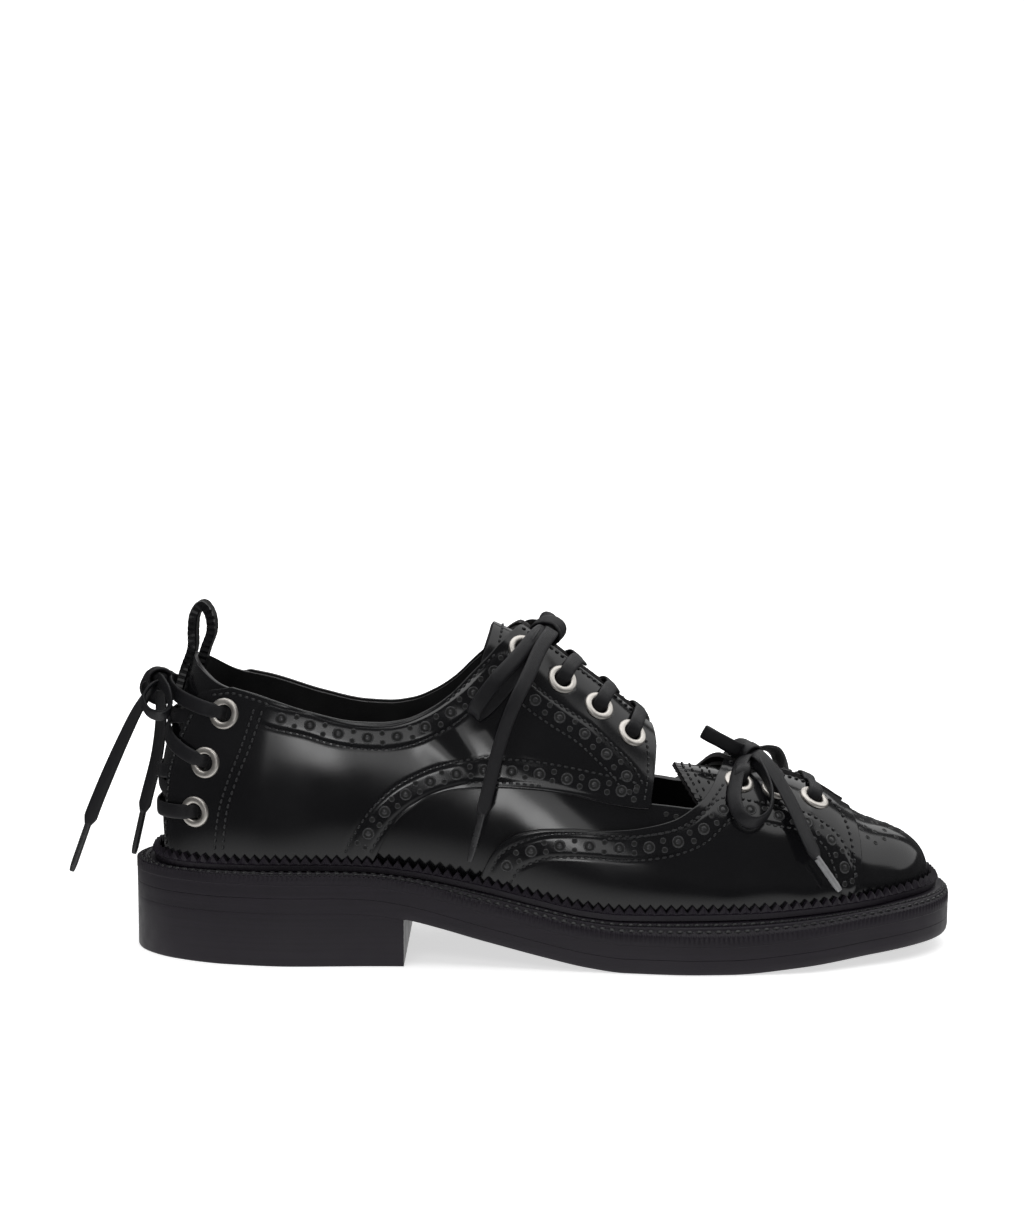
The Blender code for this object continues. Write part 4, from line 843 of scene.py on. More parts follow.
VAMP_WING = [(-24.0, 25.5), (-20.6, 30.7), (-18.0, 36.0), (-14.0, 41.0), (-7.2, 44.6), (0.5, 45.9), (9.0, 46.1),
             (20.0, 45.6), (27.0, 45.8), (34.0, 46.6), (42.0, 48.3), (49.0, 51.8), (52.7, 54.4), (56.0, 58.0),
             (58.4, 61.2), (61.0, 63.2), (70.0, 66.0), (92.0, 58.0), (96.5, 54.2), (101.0, 50.6), (103.2, 47.6),
             (104.5, 43.8), (105.0, 39.0)]
COLLAR, CUT_OUT, CORNERS, ARCH, WING = (
    curve_through(*np.array(edge).T) for edge in (COLLAR_EDGE, CUT_OUT_EDGE, QUARTER_CORNERS, QUARTER_ARCH, VAMP_WING))
THROAT_GAP, THROAT_TOP, THROAT_END, VAMP_GAP, VAMP_GAP_END = 15.0, -30.0, 35.2, 13.0, 97.0
PANEL_FOOT, OVERHANG = 2.0, 0.6
EYELETS = {"throat": [(-7.0, 103.5), (6.0, 93.5), (18.3, 84.6), (29.3, 75.7)],
           "vamp": [(65.3, 59.0), (78.0, 56.3), (91.0, 53.0)],
           "heel": [(-106.0, 83.0), (-112.4, 66.7), (-116.2, 50.0)]}
EYELET_AT = {group: place_on(*np.array(rows).T, PANEL_FACE) for group, rows in EYELETS.items()}
eyelet_s, eyelet_t = (np.concatenate([EYELET_AT[group][k] for group in EYELETS]) for k in (0, 1))
HOLES = {side: (off_last(eyelet_s, eyelet_t, side, np.full(len(eyelet_s), PANEL_FACE)),
                last_normal(eyelet_s, eyelet_t, side)) for side in SIDES.values()}


# %% Lines that run along the leather
def walk(s, t, move):
    """New station and turn after a small move along the surface."""
    e = 1e-3
    ps = (last_point(s + e, t, LATERAL) - last_point(s - e, t, LATERAL)) / (2 * e)
    pt = (last_point(s, t + e, LATERAL) - last_point(s, t - e, LATERAL)) / (2 * e)
    a, b, c = (ps * ps).sum(-1), (ps * pt).sum(-1), (pt * pt).sum(-1)
    d, f = (ps * move).sum(-1), (pt * move).sum(-1)
    det = a * c - b * b
    return s + (d * c - b * f) / det, t + (a * f - b * d) / det


def line_on(points, face=PANEL_FACE):
    dense = spline(points, 12)
    return place_on(dense[:, 0], dense[:, 1], face)


def beside(line, distance):
    """Line at a distance to the left of another, along the leather."""
    s, t = line
    for _ in range(5):
        run = np.gradient(last_point(s, t, LATERAL), axis=0)
        across = unit(np.cross(last_normal(s, t, LATERAL), run))
        s, t = walk(s, t, across * distance / 5.0)
    return s, t


def even_along(line, pitch, start=0.5):
    """Stations and turns at an even pitch along a line."""
    s, t = line
    along = length_along(last_point(s, t, LATERAL))
    count = max(int(round(along[-1] / pitch)), 1)
    places = (np.arange(count) + start) * along[-1] / count
    return np.interp(places, along, s), np.interp(places, along, t)


BANDS = {"quarter": {  # middle line of each punched band, in x and z
    "collar": [(-91.5, 83.0), (-87.5, 81.9), (-78.4, 80.0), (-69.8, 77.4), (-60.8, 75.8), (-51.3, 75.6),
               (-43.4, 77.3), (-36.0, 80.6), (-30.2, 84.3), (-23.8, 89.8), (-18.2, 95.2), (-13.4, 99.9)],
    "arch": [(-63.6, 31.0), (-61.6, 37.6), (-57.4, 45.0), (-53.2, 50.6), (-47.5, 55.8), (-41.8, 59.2), (-34.5, 62.3),
             (-23.6, 64.8), (-14.1, 64.8), (-4.6, 64.2), (4.3, 62.9), (13.5, 61.0), (23.0, 58.9), (29.5, 57.0)],
    "eyestay": [(-6.8, 90.6), (-2.4, 86.8), (5.6, 81.3), (13.0, 76.5), (20.2, 70.0), (26.1, 64.0), (29.0, 58.6)]},
    "vamp": {
    "wing": [(-14.8, 29.3), (-10.8, 35.5), (-1.6, 39.9), (7.2, 41.0), (16.3, 40.9), (25.1, 40.3), (33.6, 40.6),
             (42.2, 41.9), (49.9, 44.6), (55.4, 48.6), (60.2, 52.0), (67.5, 51.1), (76.5, 49.3), (86.0, 47.1),
             (94.3, 41.8), (98.2, 35.0), (100.4, 27.3)]}}
ROW_OUT, BIG_PITCH, STITCH_PITCH, BAND_PAD, ROW_DIP = 3.8, 9.4, 2.3, 0.16, 0.12
BAND_LINES = {panel: {name: line_on(points) for name, points in bands.items()} for panel, bands in BANDS.items()}
BAND_POINTS = {panel: np.vstack([last_point(*even_along(line, 0.4), LATERAL) for line in lines.values()])
               for panel, lines in BAND_LINES.items()}


def band_relief(s, t, panel):
    """The leather swells softly between the two rows of a band and is drawn in along them."""
    away = nearest(last_point(s, t, LATERAL), BAND_POINTS[panel])
    return BAND_PAD * smooth_step(ROW_OUT - away, 0.0, 1.8) - ROW_DIP * np.exp(-((away - ROW_OUT) / 0.6) ** 2)


print("band lines", sum(len(lines) for lines in BAND_LINES.values()))

# %% [markdown]
# ## Upper
# The base layer is one hollow sheet round the whole foot: closed at the heel and over the toe, open at
# the collar, throat, instep and the front lacing. Over it lie four overlays, two quarters and two
# vamps. All are nets on the last, cut along their edges. The main creases are given as soft troughs
# and ridges, where the ankle bends and where the forefoot does.


# %% Creases and holes
# x and z of both ends in the side view, width and depth; a ridge has a negative depth
CREASES = np.array([
    (-30.0, 79.0, -22.0, 67.0, 4.2, 0.5), (-37.0, 74.0, -27.0, 65.0, 5.0, -0.4), (-18.0, 78.0, -14.0, 68.0, 4.5, -0.3),
    (-8.0, 70.0, 6.0, 66.0, 5.0, 0.2), (46.0, 46.0, 60.0, 33.0, 6.0, 0.3), (66.0, 45.0, 72.0, 30.0, 7.0, -0.3),
    (80.0, 44.0, 86.0, 28.0, 6.0, 0.25), (-95.0, 70.0, -88.0, 50.0, 9.0, 0.2), (-70.0, 68.0, -66.0, 50.0, 9.0, -0.2)])


def crease_depth(points):
    x, z = points[..., 0], points[..., 2]
    total = np.zeros(x.shape)
    for x0, z0, x1, z1, width, depth in CREASES:
        run = np.array([x1 - x0, z1 - z0])
        share = np.clip(((x - x0) * run[0] + (z - z0) * run[1]) / (run @ run), 0.0, 1.0)
        away = np.hypot(x - x0 - share * run[0], z - z0 - share * run[1])
        total += depth * np.exp(-(away / width) ** 2)
    return total


def without_holes(points, faces, sides, count=10):
    """Faces that are not inside the hole of one of the first eyelets of a side."""
    middle = points[faces].mean(1)
    keep = np.ones(len(faces), bool)
    for side in sides:
        for centre, axis in list(zip(*HOLES[side]))[:count]:
            away = middle - centre
            along = away @ axis
            across = np.linalg.norm(away - along[:, None] * axis, axis=1)
            keep &= ~((across < 3.5) & (np.abs(along) < 7.0))
    return faces[keep]


# %% Base layer
def upper_top(s):
    x = last_x(s)
    collar = turn_at_edge(s, COLLAR)
    throat = np.minimum(collar, turn_at_gap(s, THROAT_GAP))
    cut_out = np.minimum(turn_at_edge(s, CUT_OUT), turn_at_gap(s, VAMP_GAP))
    return np.select([x < THROAT_TOP, x < THROAT_END, x < VAMP_GAP_END], [collar, throat, cut_out], 1.0)


upper_s = np.unique(np.concatenate([
    np.linspace(0.0, 1.0, 190), last_station([35.1, 35.18, 35.22, 35.3, 96.9, 96.98, 97.02, 97.1]),
    last_station(np.linspace(-26.0, -4.0, 34)), last_station(np.linspace(48.0, 62.0, 24))]))
upper_rows = np.concatenate([np.linspace(0.0, 0.98, 46), [0.988, 0.994, 0.997, 1.0]])
tops = upper_top(upper_s)
outer, inner, faces = [], [], []
for side in SIDES.values():
    s = np.repeat(upper_s, len(upper_rows))
    t = (tops[:, None] * upper_rows[None, :]).ravel()
    faces.append(grid_faces(len(upper_s), len(upper_rows), sum(len(o) for o in outer)))
    sink = np.where(t < 0.999, crease_depth(last_point(s, t, side)), 0.0) * 0.6
    outer.append(off_last(s, t, side, -sink))
    inner.append(off_last(s, t, side, -sink - WALL))
outer, inner = np.vstack(outer), np.vstack(inner)
faces = without_holes(outer, np.vstack(faces), SIDES.values(), 7)  # the lining hides the heel eyelets inside
upper = leather_sheet("upper_dressed", outer, inner, faces, LEATHER, 0.5)
dress(upper, "upper_leather", "upper")
print("upper faces", len(upper.data.polygons))


# %% Overlays
def panel_foot(s):
    foot = last_point(s, 0.0, LATERAL)[..., 2] + PANEL_FOOT
    return turn_where(s, lambda point: point[..., 2] >= foot)


def quarter_low(s):
    return np.maximum(panel_foot(s), turn_at_edge(s, ARCH))


def quarter_high(s):
    high = np.minimum(turn_at_edge(s, lambda x: COLLAR(x) + OVERHANG), turn_at_edge(s, CORNERS))
    throat = np.minimum(high, turn_at_gap(s, THROAT_GAP - 2.0 * OVERHANG))
    return np.where(last_x(s) > THROAT_TOP, throat, high)


def vamp_high(s):
    return np.minimum(turn_at_edge(s, WING), turn_at_gap(s, VAMP_GAP - 2.0 * OVERHANG))


PANELS = {
    "quarter": (quarter_low, quarter_high, np.array(
        [(-126.6, -121.4), (-123.6, -118.4), (-119.0, -115.0), (-112.5, -110.5), (-104.0, -103.4)]
        + [(x, x) for x in (-93.0, -76.0, -60.0, -57.4, -54.5, -49.0, -43.0, -35.0, -26.0, -19.0, -13.0, -7.0, 0.0,
                            10.0, 20.0, 28.0, 32.0, 34.0, 35.6, 36.9)])),
    "vamp": (panel_foot, vamp_high, np.array(
        [(x, x) for x in (-21.6, -20.4, -18.0, -14.0, -7.0, 3.0, 14.0, 25.0, 35.0, 43.0, 49.0, 53.0, 56.5, 60.0, 67.0,
                          76.0, 85.0, 93.0, 98.0, 101.0, 102.6, 103.6, 104.2, 104.6, 104.9, 105.0)]))}
PANEL_EDGE_ROWS = np.array([0.0, 0.12, 0.3, 0.6, 1.2])


def fine_columns(columns):
    """Columns about a millimetre apart, closer at both ends where the edge is rounded."""
    places = [columns[:1]]
    for k in range(len(columns) - 1):
        count = max(int(np.ceil(abs(columns[k + 1, 0] - columns[k, 0]) / 0.9)), 3)
        share = np.linspace(0.0, 1.0, count + 1)[1:]
        close = {0: [0.04, 0.1, 0.2], len(columns) - 2: [0.8, 0.9, 0.96]}.get(k, [])
        share = np.unique(np.concatenate([share, close]))
        places.append(columns[k] + share[:, None] * (columns[k + 1] - columns[k]))
    return np.vstack(places)


def panel_net(columns, low, high, inner_rows=74):
    foot, top = last_station(columns[:, 0]), last_station(columns[:, 1])
    first = low(foot)
    last = np.maximum(high(top), first)
    reach = np.linalg.norm(last_point(foot, first, LATERAL) - last_point(top, last, LATERAL), axis=-1)
    shares = []
    for size in reach:
        if size < 4.0:
            shares.append(np.linspace(0.0, 1.0, inner_rows + 8))
            continue
        low_rows = PANEL_EDGE_ROWS / size
        middle = np.linspace(low_rows[-1], 1.0 - low_rows[-1], inner_rows)[1:-1]
        shares.append(np.concatenate([low_rows, middle, 1.0 - low_rows[::-1]]))
    shares = np.array(shares)
    return foot[:, None] + shares * (top - foot)[:, None], first[:, None] + shares * (last - first)[:, None]


for panel, (low, high, columns) in PANELS.items():
    s, t = panel_net(fine_columns(columns), low, high)
    rows = s.shape[1]
    s, t = s.ravel(), t.ravel()
    relief = band_relief(s, t, panel)
    for side_name, side in SIDES.items():
        sink = crease_depth(last_point(s, t, side))
        outer = off_last(s, t, side, PANEL_FACE - sink + relief)
        inner = off_last(s, t, side, PANEL_GAP - 0.3 - 0.6 * sink)
        faces = without_holes(outer, grid_faces(len(s) // rows, rows), [side])
        sheet = leather_sheet(f"{panel}_{side_name}_dressed", outer, inner, faces, LEATHER)
        dress(sheet, "upper_leather", f"{panel}_{side_name}")
        print(panel, side_name, "faces", len(sheet.data.polygons))

# %% [markdown]
# ## Tongues and pull loop
# Both tongues lie under their lacing, a few millimetres below the edges of the facings. The front one
# has a pinked rear edge and rows of small punched dashes. The pull loop is a strap folded over the back
# of the collar, pinked along both edges.


# %% Tongues
def make_tongue(node, columns, half, rows, swing, depth):
    """Sheet under a lacing; swing moves its net along the shoe, depth sinks it below the last."""
    aside = np.linspace(-1.0, 1.0, 2 * rows - 1)
    edge = turn_at_gap(last_station(columns), 2.0 * half)
    t = edge[:, None] + (1.0 - np.abs(aside)) * (1.0 - edge)[:, None]
    side = np.broadcast_to(np.where(aside < 0.0, LATERAL, MEDIAL), t.shape)
    s = last_station(columns[:, None] + swing(columns[:, None], np.abs(aside)))
    sunk = np.broadcast_to(depth(columns[:, None], np.abs(aside)), t.shape)
    outer, inner = off_last(s, t, side, -sunk), off_last(s, t, side, -sunk - 1.6)
    sheet = leather_sheet(node + "_dressed", outer.reshape(-1, 3), inner.reshape(-1, 3), grid_faces(*t.shape), LEATHER)
    dress(sheet, "upper_leather", node)
    print(node, "faces", len(sheet.data.polygons))
    return outer, unit(outer - inner), columns


def on_tongue(net, along, aside):
    """Points, outward and run directions across a tongue, at a place along it."""
    outer, normal, columns = net
    i = int(np.searchsorted(columns, along))
    j = np.rint((np.asarray(aside) + 1.0) / 2.0 * (outer.shape[1] - 1)).astype(int)
    return outer[i, j], normal[i, j], unit(outer[i, j + 1] - outer[i, j - 1])


TONGUE_TIP, TONGUE_FRONT, FRONT_TIP, FRONT_END = -13.6, 35.0, 48.4, 96.0
throat_net = make_tongue(
    "tongue", np.concatenate([TONGUE_TIP + np.array([0.0, 0.15, 0.4, 0.9]), np.linspace(-11.8, TONGUE_FRONT, 50)]), 21.0, 36,
    lambda x, aside: -8.5 * aside ** 1.9 * np.exp(-(x - TONGUE_TIP) / 14.0),
    lambda x, aside: 2.8 + 3.2 * np.maximum(0.0, x / TONGUE_TIP))
pinks = 0.5 * np.abs((np.arange(87) % 4) / 2.0 - 1.0)
front_net = make_tongue(
    "vamp_tongue", np.concatenate([FRONT_TIP + np.array([0.0, 0.15, 0.4, 0.9]), np.linspace(49.8, FRONT_END, 66)]), 26.0, 44,
    lambda x, aside: 7.0 * aside ** 1.5 * (FRONT_END - x) / (FRONT_END - FRONT_TIP) + pinks * np.exp((FRONT_TIP - x) / 1.5),
    lambda x, aside: 3.2 + (4.3 + 1.5 * aside) * np.clip((62.0 - x) / 13.0, 0.0, 1.0) ** 1.2)
sides = np.linspace(-0.94, 0.94, 20)
set_along("tongue_stitches", masters["seam_stitch"], thread,
          [on_tongue(throat_net, TONGUE_TIP + 2.5, sides), on_tongue(front_net, FRONT_TIP + 1.9, sides)])
# The dark dashes are painted shade for punched slits.
set_along("tongue_dashes", masters["dash"], hole_shade,
          [on_tongue(front_net, FRONT_TIP + step, np.linspace(-0.9, 0.9, 14)) for step in (4.2, 6.6, 9.0)])

# %% Pull loop
LOOP_ROUTE = [(-124.9, 87.0), (-122.4, 95.0), (-119.9, 102.0), (-119.7, 108.0), (-119.0, 113.6), (-116.4, 117.0),
              (-113.8, 113.6), (-113.3, 108.0), (-115.4, 102.0), (-117.5, 95.0), (-119.7, 87.0)]
LOOP_WIDTH, LOOP_THICK, LOOP_PINK = 9.0, 3.0, 2.0
middle = float(SOLE_SWING(0.0)) - CENTRE
line = spline(LOOP_ROUTE, 12)
pinks = int(round(length_along(line)[-1] / LOOP_PINK))
line = resample(line, 4 * pinks + 1)
run = unit(np.gradient(line, axis=0))
aside = np.stack([-run[:, 1], run[:, 0]], -1) * LOOP_THICK / 2.0
tooth = np.abs(((np.arange(len(line)) % 4) / 2.0) - 1.0)
rings = []
for place, step, cut in zip(line, aside, tooth):
    half = LOOP_WIDTH / 2.0 - 0.55 * cut
    rings.append([(place[0] + step[0] * out, middle + y, place[1] + step[1] * out)
                  for y, out in ((-half, -0.8), (-half + 0.5, -1.0), (half - 0.5, -1.0), (half, -0.8),
                                 (half, 0.8), (half - 0.5, 1.0), (-half + 0.5, 1.0), (-half, 0.8))])
dress(sweep("pull_loop_dressed", np.array(rings), polished, smooth_angle=30.0), "upper_leather", "pull_loop")
print("pull loop pinks", pinks)

# %% [markdown]
# ## Eyelets
# Twenty nickel eyelets: a rolled ring over the leather and a barrel through it. They repeat, but there
# are few of them and each replaces a packed one, so they are turned in one mesh.

# %% Eyelets
EYELET_RING = ((2.9, -2.2), (2.9, 0.25), (3.05, 0.55), (3.3, 0.72), (3.9, 0.8), (4.6, 0.72), (5.0, 0.5), (5.2, 0.15),
               (5.22, -0.3), (3.2, -0.6))
points, faces = [], []
segments, count = 40, len(EYELET_RING)
for side in SIDES.values():
    for centre, axis in zip(*HOLES[side]):
        first_dir = unit(np.cross(axis, UP))
        other = np.cross(axis, first_dir)
        start = len(points)
        for k in range(segments):
            angle = 2.0 * math.pi * k / segments
            spoke = first_dir * math.cos(angle) + other * math.sin(angle)
            points += [centre + spoke * radius + axis * height for radius, height in EYELET_RING]
            a, b = start + k * count, start + ((k + 1) % segments) * count
            faces += [(a + j, b + j, b + (j + 1) % count, a + (j + 1) % count) for j in range(count)]
eyelets = new_piece("eyelets_dressed", np.array(points), faces, [nickel], None, 50.0)
dress(eyelets, "nickel", *[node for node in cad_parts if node.startswith("eyelet")])
print("eyelets", 2 * len(eyelet_s))

# %% [markdown]
# ## Seams and punches
# Rows of stitches hold each overlay, and between two rows runs the punched band: a big punch, a pair of
# small ones, and so on. Single rows follow the edges, a couple of millimetres inside them.


# %% Stitches and punches on both sides
def laid(line, side, face, panel=None):
    """Points, outward and run directions of a line on one side of the shoe."""
    s, t = line
    lift = face - crease_depth(last_point(s, t, side)) + (band_relief(s, t, panel) if panel else 0.0)
    points = off_last(s, t, side, lift)
    return points, last_normal(s, t, side), unit(np.gradient(points, axis=0))


def kept_on(panel, line):
    """The part of a line that lies on a panel, clear of its edges."""
    s, t = line
    low, high, _ = PANELS[panel]
    keep = (t > low(s) + 0.012) & (t < high(s) - 0.012)
    return s[keep], t[keep]


PLAIN_SEAMS = {"quarter": [
    [(-92.8, 84.6), (-97.1, 72.5), (-102.0, 60.4), (-105.2, 49.8), (-107.0, 35.0)],
    [(-95.6, 85.0), (-99.9, 72.5), (-104.7, 60.4), (-107.9, 49.8), (-109.8, 35.0)],
    [(32.4, 77.0), (34.3, 71.5), (34.2, 64.5), (33.2, 58.0), (32.6, 55.0)]],
    "vamp": [
    [(94.0, 53.4), (98.4, 50.0), (101.0, 46.0), (102.3, 41.0), (102.8, 34.5), (102.6, 28.0)],
    [(60.0, 59.0), (57.0, 56.0), (53.6, 52.4), (49.8, 49.4), (42.6, 46.0), (34.0, 44.4), (27.0, 43.6), (20.0, 43.4)]]}
stitches, bigs, smalls = [], [], []
for side in SIDES.values():
    for panel, lines in BAND_LINES.items():
        for line in lines.values():
            for distance in (-ROW_OUT, ROW_OUT):
                row = kept_on(panel, even_along(beside(line, distance), STITCH_PITCH))
                stitches.append(laid(row, side, PANEL_FACE, panel))
            bigs.append(laid(kept_on(panel, even_along(line, BIG_PITCH)), side, PANEL_FACE + 0.03, panel))
            between = even_along(line, BIG_PITCH, start=1.0)
            for distance in (-1.5, 1.5):
                smalls.append(laid(kept_on(panel, beside(between, distance)), side, PANEL_FACE + 0.03, panel))
    for panel, seams in PLAIN_SEAMS.items():
        for points in seams:
            row = kept_on(panel, even_along(line_on(points), STITCH_PITCH))
            stitches.append(laid(row, side, PANEL_FACE, panel))
# The dark discs in these rows are painted shade for the punch holes.
for name, key, finish, rows in (("seam_stitches", "seam_stitch", thread, stitches),
                                # The lighter rims and plugs are painted highlight and painted reflection.
                                ("big_punch_rims", "big_rim", punch_highlight, bigs),
                                ("big_punch_hollows", "big_hollow", hole_shade, bigs),
                                ("big_punch_plugs", "big_plug", punch_highlight, bigs),
                                ("small_punch_rims", "small_rim", punch_highlight, smalls),
                                ("small_punch_hollows", "small_hollow", hole_shade, smalls)):
    set_along(name, masters[key], finish, rows)

# %% Stitch rows along the overlays' edges
quarter_s, facing_s, front_s = (last_station(np.linspace(*ends)) for ends in (
    (-116.5, -93.0, 30), (-8.0, 33.0, 60), (62.0, 93.0, 40)))
back = np.linspace(0.04, 0.93, 40)
back_foot, back_top = last_station([-126.6]), last_station([-121.4])
back_low, back_high = quarter_low(back_foot), quarter_high(back_top)
EDGE_ROWS = [(quarter_s, quarter_high(quarter_s)), (facing_s, quarter_high(facing_s)), (front_s, vamp_high(front_s)),
             (back_foot + back * (back_top - back_foot), back_low + back * (back_high - back_low))]
set_along("edge_stitches", masters["seam_stitch"], thread,
          [laid(even_along(beside(row, -1.9), STITCH_PITCH), side, PANEL_FACE)
           for row in EDGE_ROWS for side in SIDES.values()])

# %% Medallion on the toe and punches along the cut-out
# x and turn of each pinhole; the pattern is the same on both halves
MEDALLION = np.array([
    (106.8, 0.90), (111.0, 0.97), (109.0, 0.84), (109.4, 0.72), (107.6, 0.66), (112.6, 0.70), (116.6, 0.78),
    (119.7, 0.88), (121.0, 0.98), (124.0, 0.90), (109.3, 0.58), (111.9, 0.54), (115.5, 0.62), (105.0, 0.99),
    (115.0, 0.97), (117.0, 0.99), (124.5, 0.99), (120.5, 0.70)])
pinholes = (last_station(MEDALLION[:, 0]), MEDALLION[:, 1])
cut_out = line_on([(38.3, 50.8), (43.3, 49.6), (48.3, 49.6)], 0.0)
rows = [laid(line, side, 0.03) for side in SIDES.values() for line in (pinholes, even_along(cut_out, 3.4))]
set_along("pinhole_rims", masters["small_rim"], polished, rows)
# The dark discs in the pinholes are painted shade for the holes.
set_along("pinhole_hollows", masters["small_hollow"], hole_shade, rows, size=1.1)
centre = (last_station(np.array([113.9, 113.9])), np.array([0.90, 0.9001]))
rows = [tuple(row[:1] for row in laid(centre, side, 0.05)) for side in SIDES.values()]
set_along("medallion_rims", masters["big_rim"], polished, rows, size=0.75)
# The dark disc in the medallion's middle is painted shade for its hole.
set_along("medallion_hollows", masters["big_hollow"], hole_shade, rows, size=0.75)

# %% [markdown]
# ## Laces
# Flat waxed laces, 5 mm wide. Each is a thin rounded ribbon swept along its route, with a width
# direction that follows the leather under it. Bars run over the facings from eyelet to eyelet; bows
# hang free, so their loops and ends are swept along routes of their own lengths, with tips on the ends.

# %% Ribbon
LACE_WIDTH, LACE_THICK = 5.0, 1.2


def ribbon(name, line, across, width=LACE_WIDTH, thick=LACE_THICK, closed=False):
    run = unit(np.gradient(line, axis=0))
    across = unit(across - (across * run).sum(-1, keepdims=True) * run)
    face = np.cross(run, across)
    angle = np.linspace(0.0, 2.0 * math.pi, 14, endpoint=False)
    wide = np.sign(np.cos(angle)) * np.abs(np.cos(angle)) ** 0.55
    tall = np.sign(np.sin(angle)) * np.abs(np.sin(angle)) ** 0.75
    width, thick = (np.broadcast_to(np.asarray(size, float), (len(line),))[:, None] / 2.0 for size in (width, thick))
    rings = line[:, None] + across[:, None] * (wide * width)[..., None] + face[:, None] * (tall * thick)[..., None]
    return sweep(name, rings, waxed_lace, uv_length=length_along(np.vstack([line, line[:1]])), closed=closed)


def spread_across(hints, count):
    """Width directions spread evenly over a route from a few given ones."""
    hints = np.array(hints, float)
    places = np.linspace(0.0, len(hints) - 1.0, count)
    return unit(np.stack([np.interp(places, np.arange(len(hints)), hints[:, k]) for k in range(3)], -1))


def rounded_route(points):
    line = spline(points, 12)
    return resample(line, max(int(length_along(line)[-1] / 0.9), 20))


# %% Bars over throat, front and heel
def over_leather(stops):
    """Route through rows of side, station, turn and lift, with the width direction along the leather."""
    side, s, t, lift = (np.array([row[k] for row in stops], float) for k in range(4))
    line = off_last(s, t, side, lift)
    across = np.cross(last_normal(s, t, side), unit(np.gradient(line, axis=0)))
    good = np.flatnonzero(np.linalg.norm(across, axis=1) > 0.75)
    across = across[[good[np.argmin(np.abs(good - k))] for k in range(len(across))]]
    dense = spline(np.hstack([line, across]), 6)
    even_rows = resample(dense, max(int(length_along(dense[:, :3])[-1] / 0.9), 12))
    return even_rows[:, :3], unit(even_rows[:, 3:])


INTO_EYELET = ((-0.22, -3.4), (-0.08, -3.0), (0.0, -0.8), (0.04, 1.5))
OUT_OF_EYELET = (*INTO_EYELET, (0.13, 3.2), (0.30, 3.4), (0.62, 2.7), (0.85, 1.8), (1.0, 1.4))
INTO_HEEL = ((-0.08, -1.2), (0.0, -0.6), (0.04, 1.5))
HEEL_OUT = (*INTO_HEEL, (0.14, 3.1), (0.3, 3.2), (0.5, 2.6), (0.72, 1.7), (1.0, 1.3))
TOP_OUT = (*INTO_HEEL, (0.14, 3.1), (0.3, 3.4), (0.55, 3.6), (0.8, 4.6), (1.0, 5.2))


def leg_over(start, end, lifts):
    """Stops from an eyelet to the middle; the lift rises out of the eyelet and settles on the leather."""
    return [(start[0] + u * (end[0] - start[0]), start[1] + u * (end[1] - start[1]), lift) for u, lift in lifts]


def eyelet_at(group, number):
    return float(EYELET_AT[group][0][number - 1]), float(EYELET_AT[group][1][number - 1])


def back_turn(z):
    return float(turn_where(np.array([0.0]), lambda point: point[..., 2] >= z)[0])


BARS = [(f"throat_lace_bar_{number - 1}", "throat", number, (float(last_station(x)), 1.0), OUT_OF_EYELET)
        for number, x in ((2, 12.0), (3, 23.3), (4, 33.0))]
BARS += [(f"vamp_lace_bar_{number - 1}", "vamp", number, (float(last_station(x)), 1.0), OUT_OF_EYELET)
         for number, x in ((2, 79.0), (3, 91.5))]
BARS += [("heel_lace_bar_1", "heel", 3, (0.0, back_turn(48.8)), HEEL_OUT),
         ("heel_lace_bar_2", "heel", 1, (0.0, back_turn(89.5)), TOP_OUT)]
for node, group, number, middle, lifts in BARS:
    leg = leg_over(eyelet_at(group, number), middle, lifts)
    stops = [(LATERAL, *row) for row in leg] + [(MEDIAL, *row) for row in leg[-2::-1]]
    dress(ribbon(node + "_dressed", *over_leather(stops)), "lace", node)
low_in, high_in, top_in = ([float(v[0]) for v in place_on([x], [z], 0.7)] for x, z in (
    (-124.6, 54.6), (-122.2, 63.0), (-117.6, 81.0)))
FLAT_LEG = ((0.0, 0.7), (0.3, 0.8), (0.6, 0.9), (1.0, 1.0))
for side_name, side in SIDES.items():
    for node, low, middle_z, high, lifts in (("heel_lace_cross_lower", low_in, 60.0, high_in, FLAT_LEG),
                                             ("heel_lace_cross_upper", eyelet_at("heel", 2), 79.0, top_in, HEEL_OUT)):
        turn, over = back_turn(middle_z), 0.0 if side == LATERAL else 1.0
        stops = [(side, s, t, lift + over) for s, t, lift in leg_over(low, (0.0, turn), lifts)]
        stops += [(-side, u * high[0], turn + u * (high[1] - turn), 1.0 - 0.25 * u) for u in (0.3, 0.6, 1.0)]
        dress(ribbon(f"{node}_{side_name}", *over_leather(stops)), "lace", node)
print("lace bars", len(BARS), "and crossings 4")

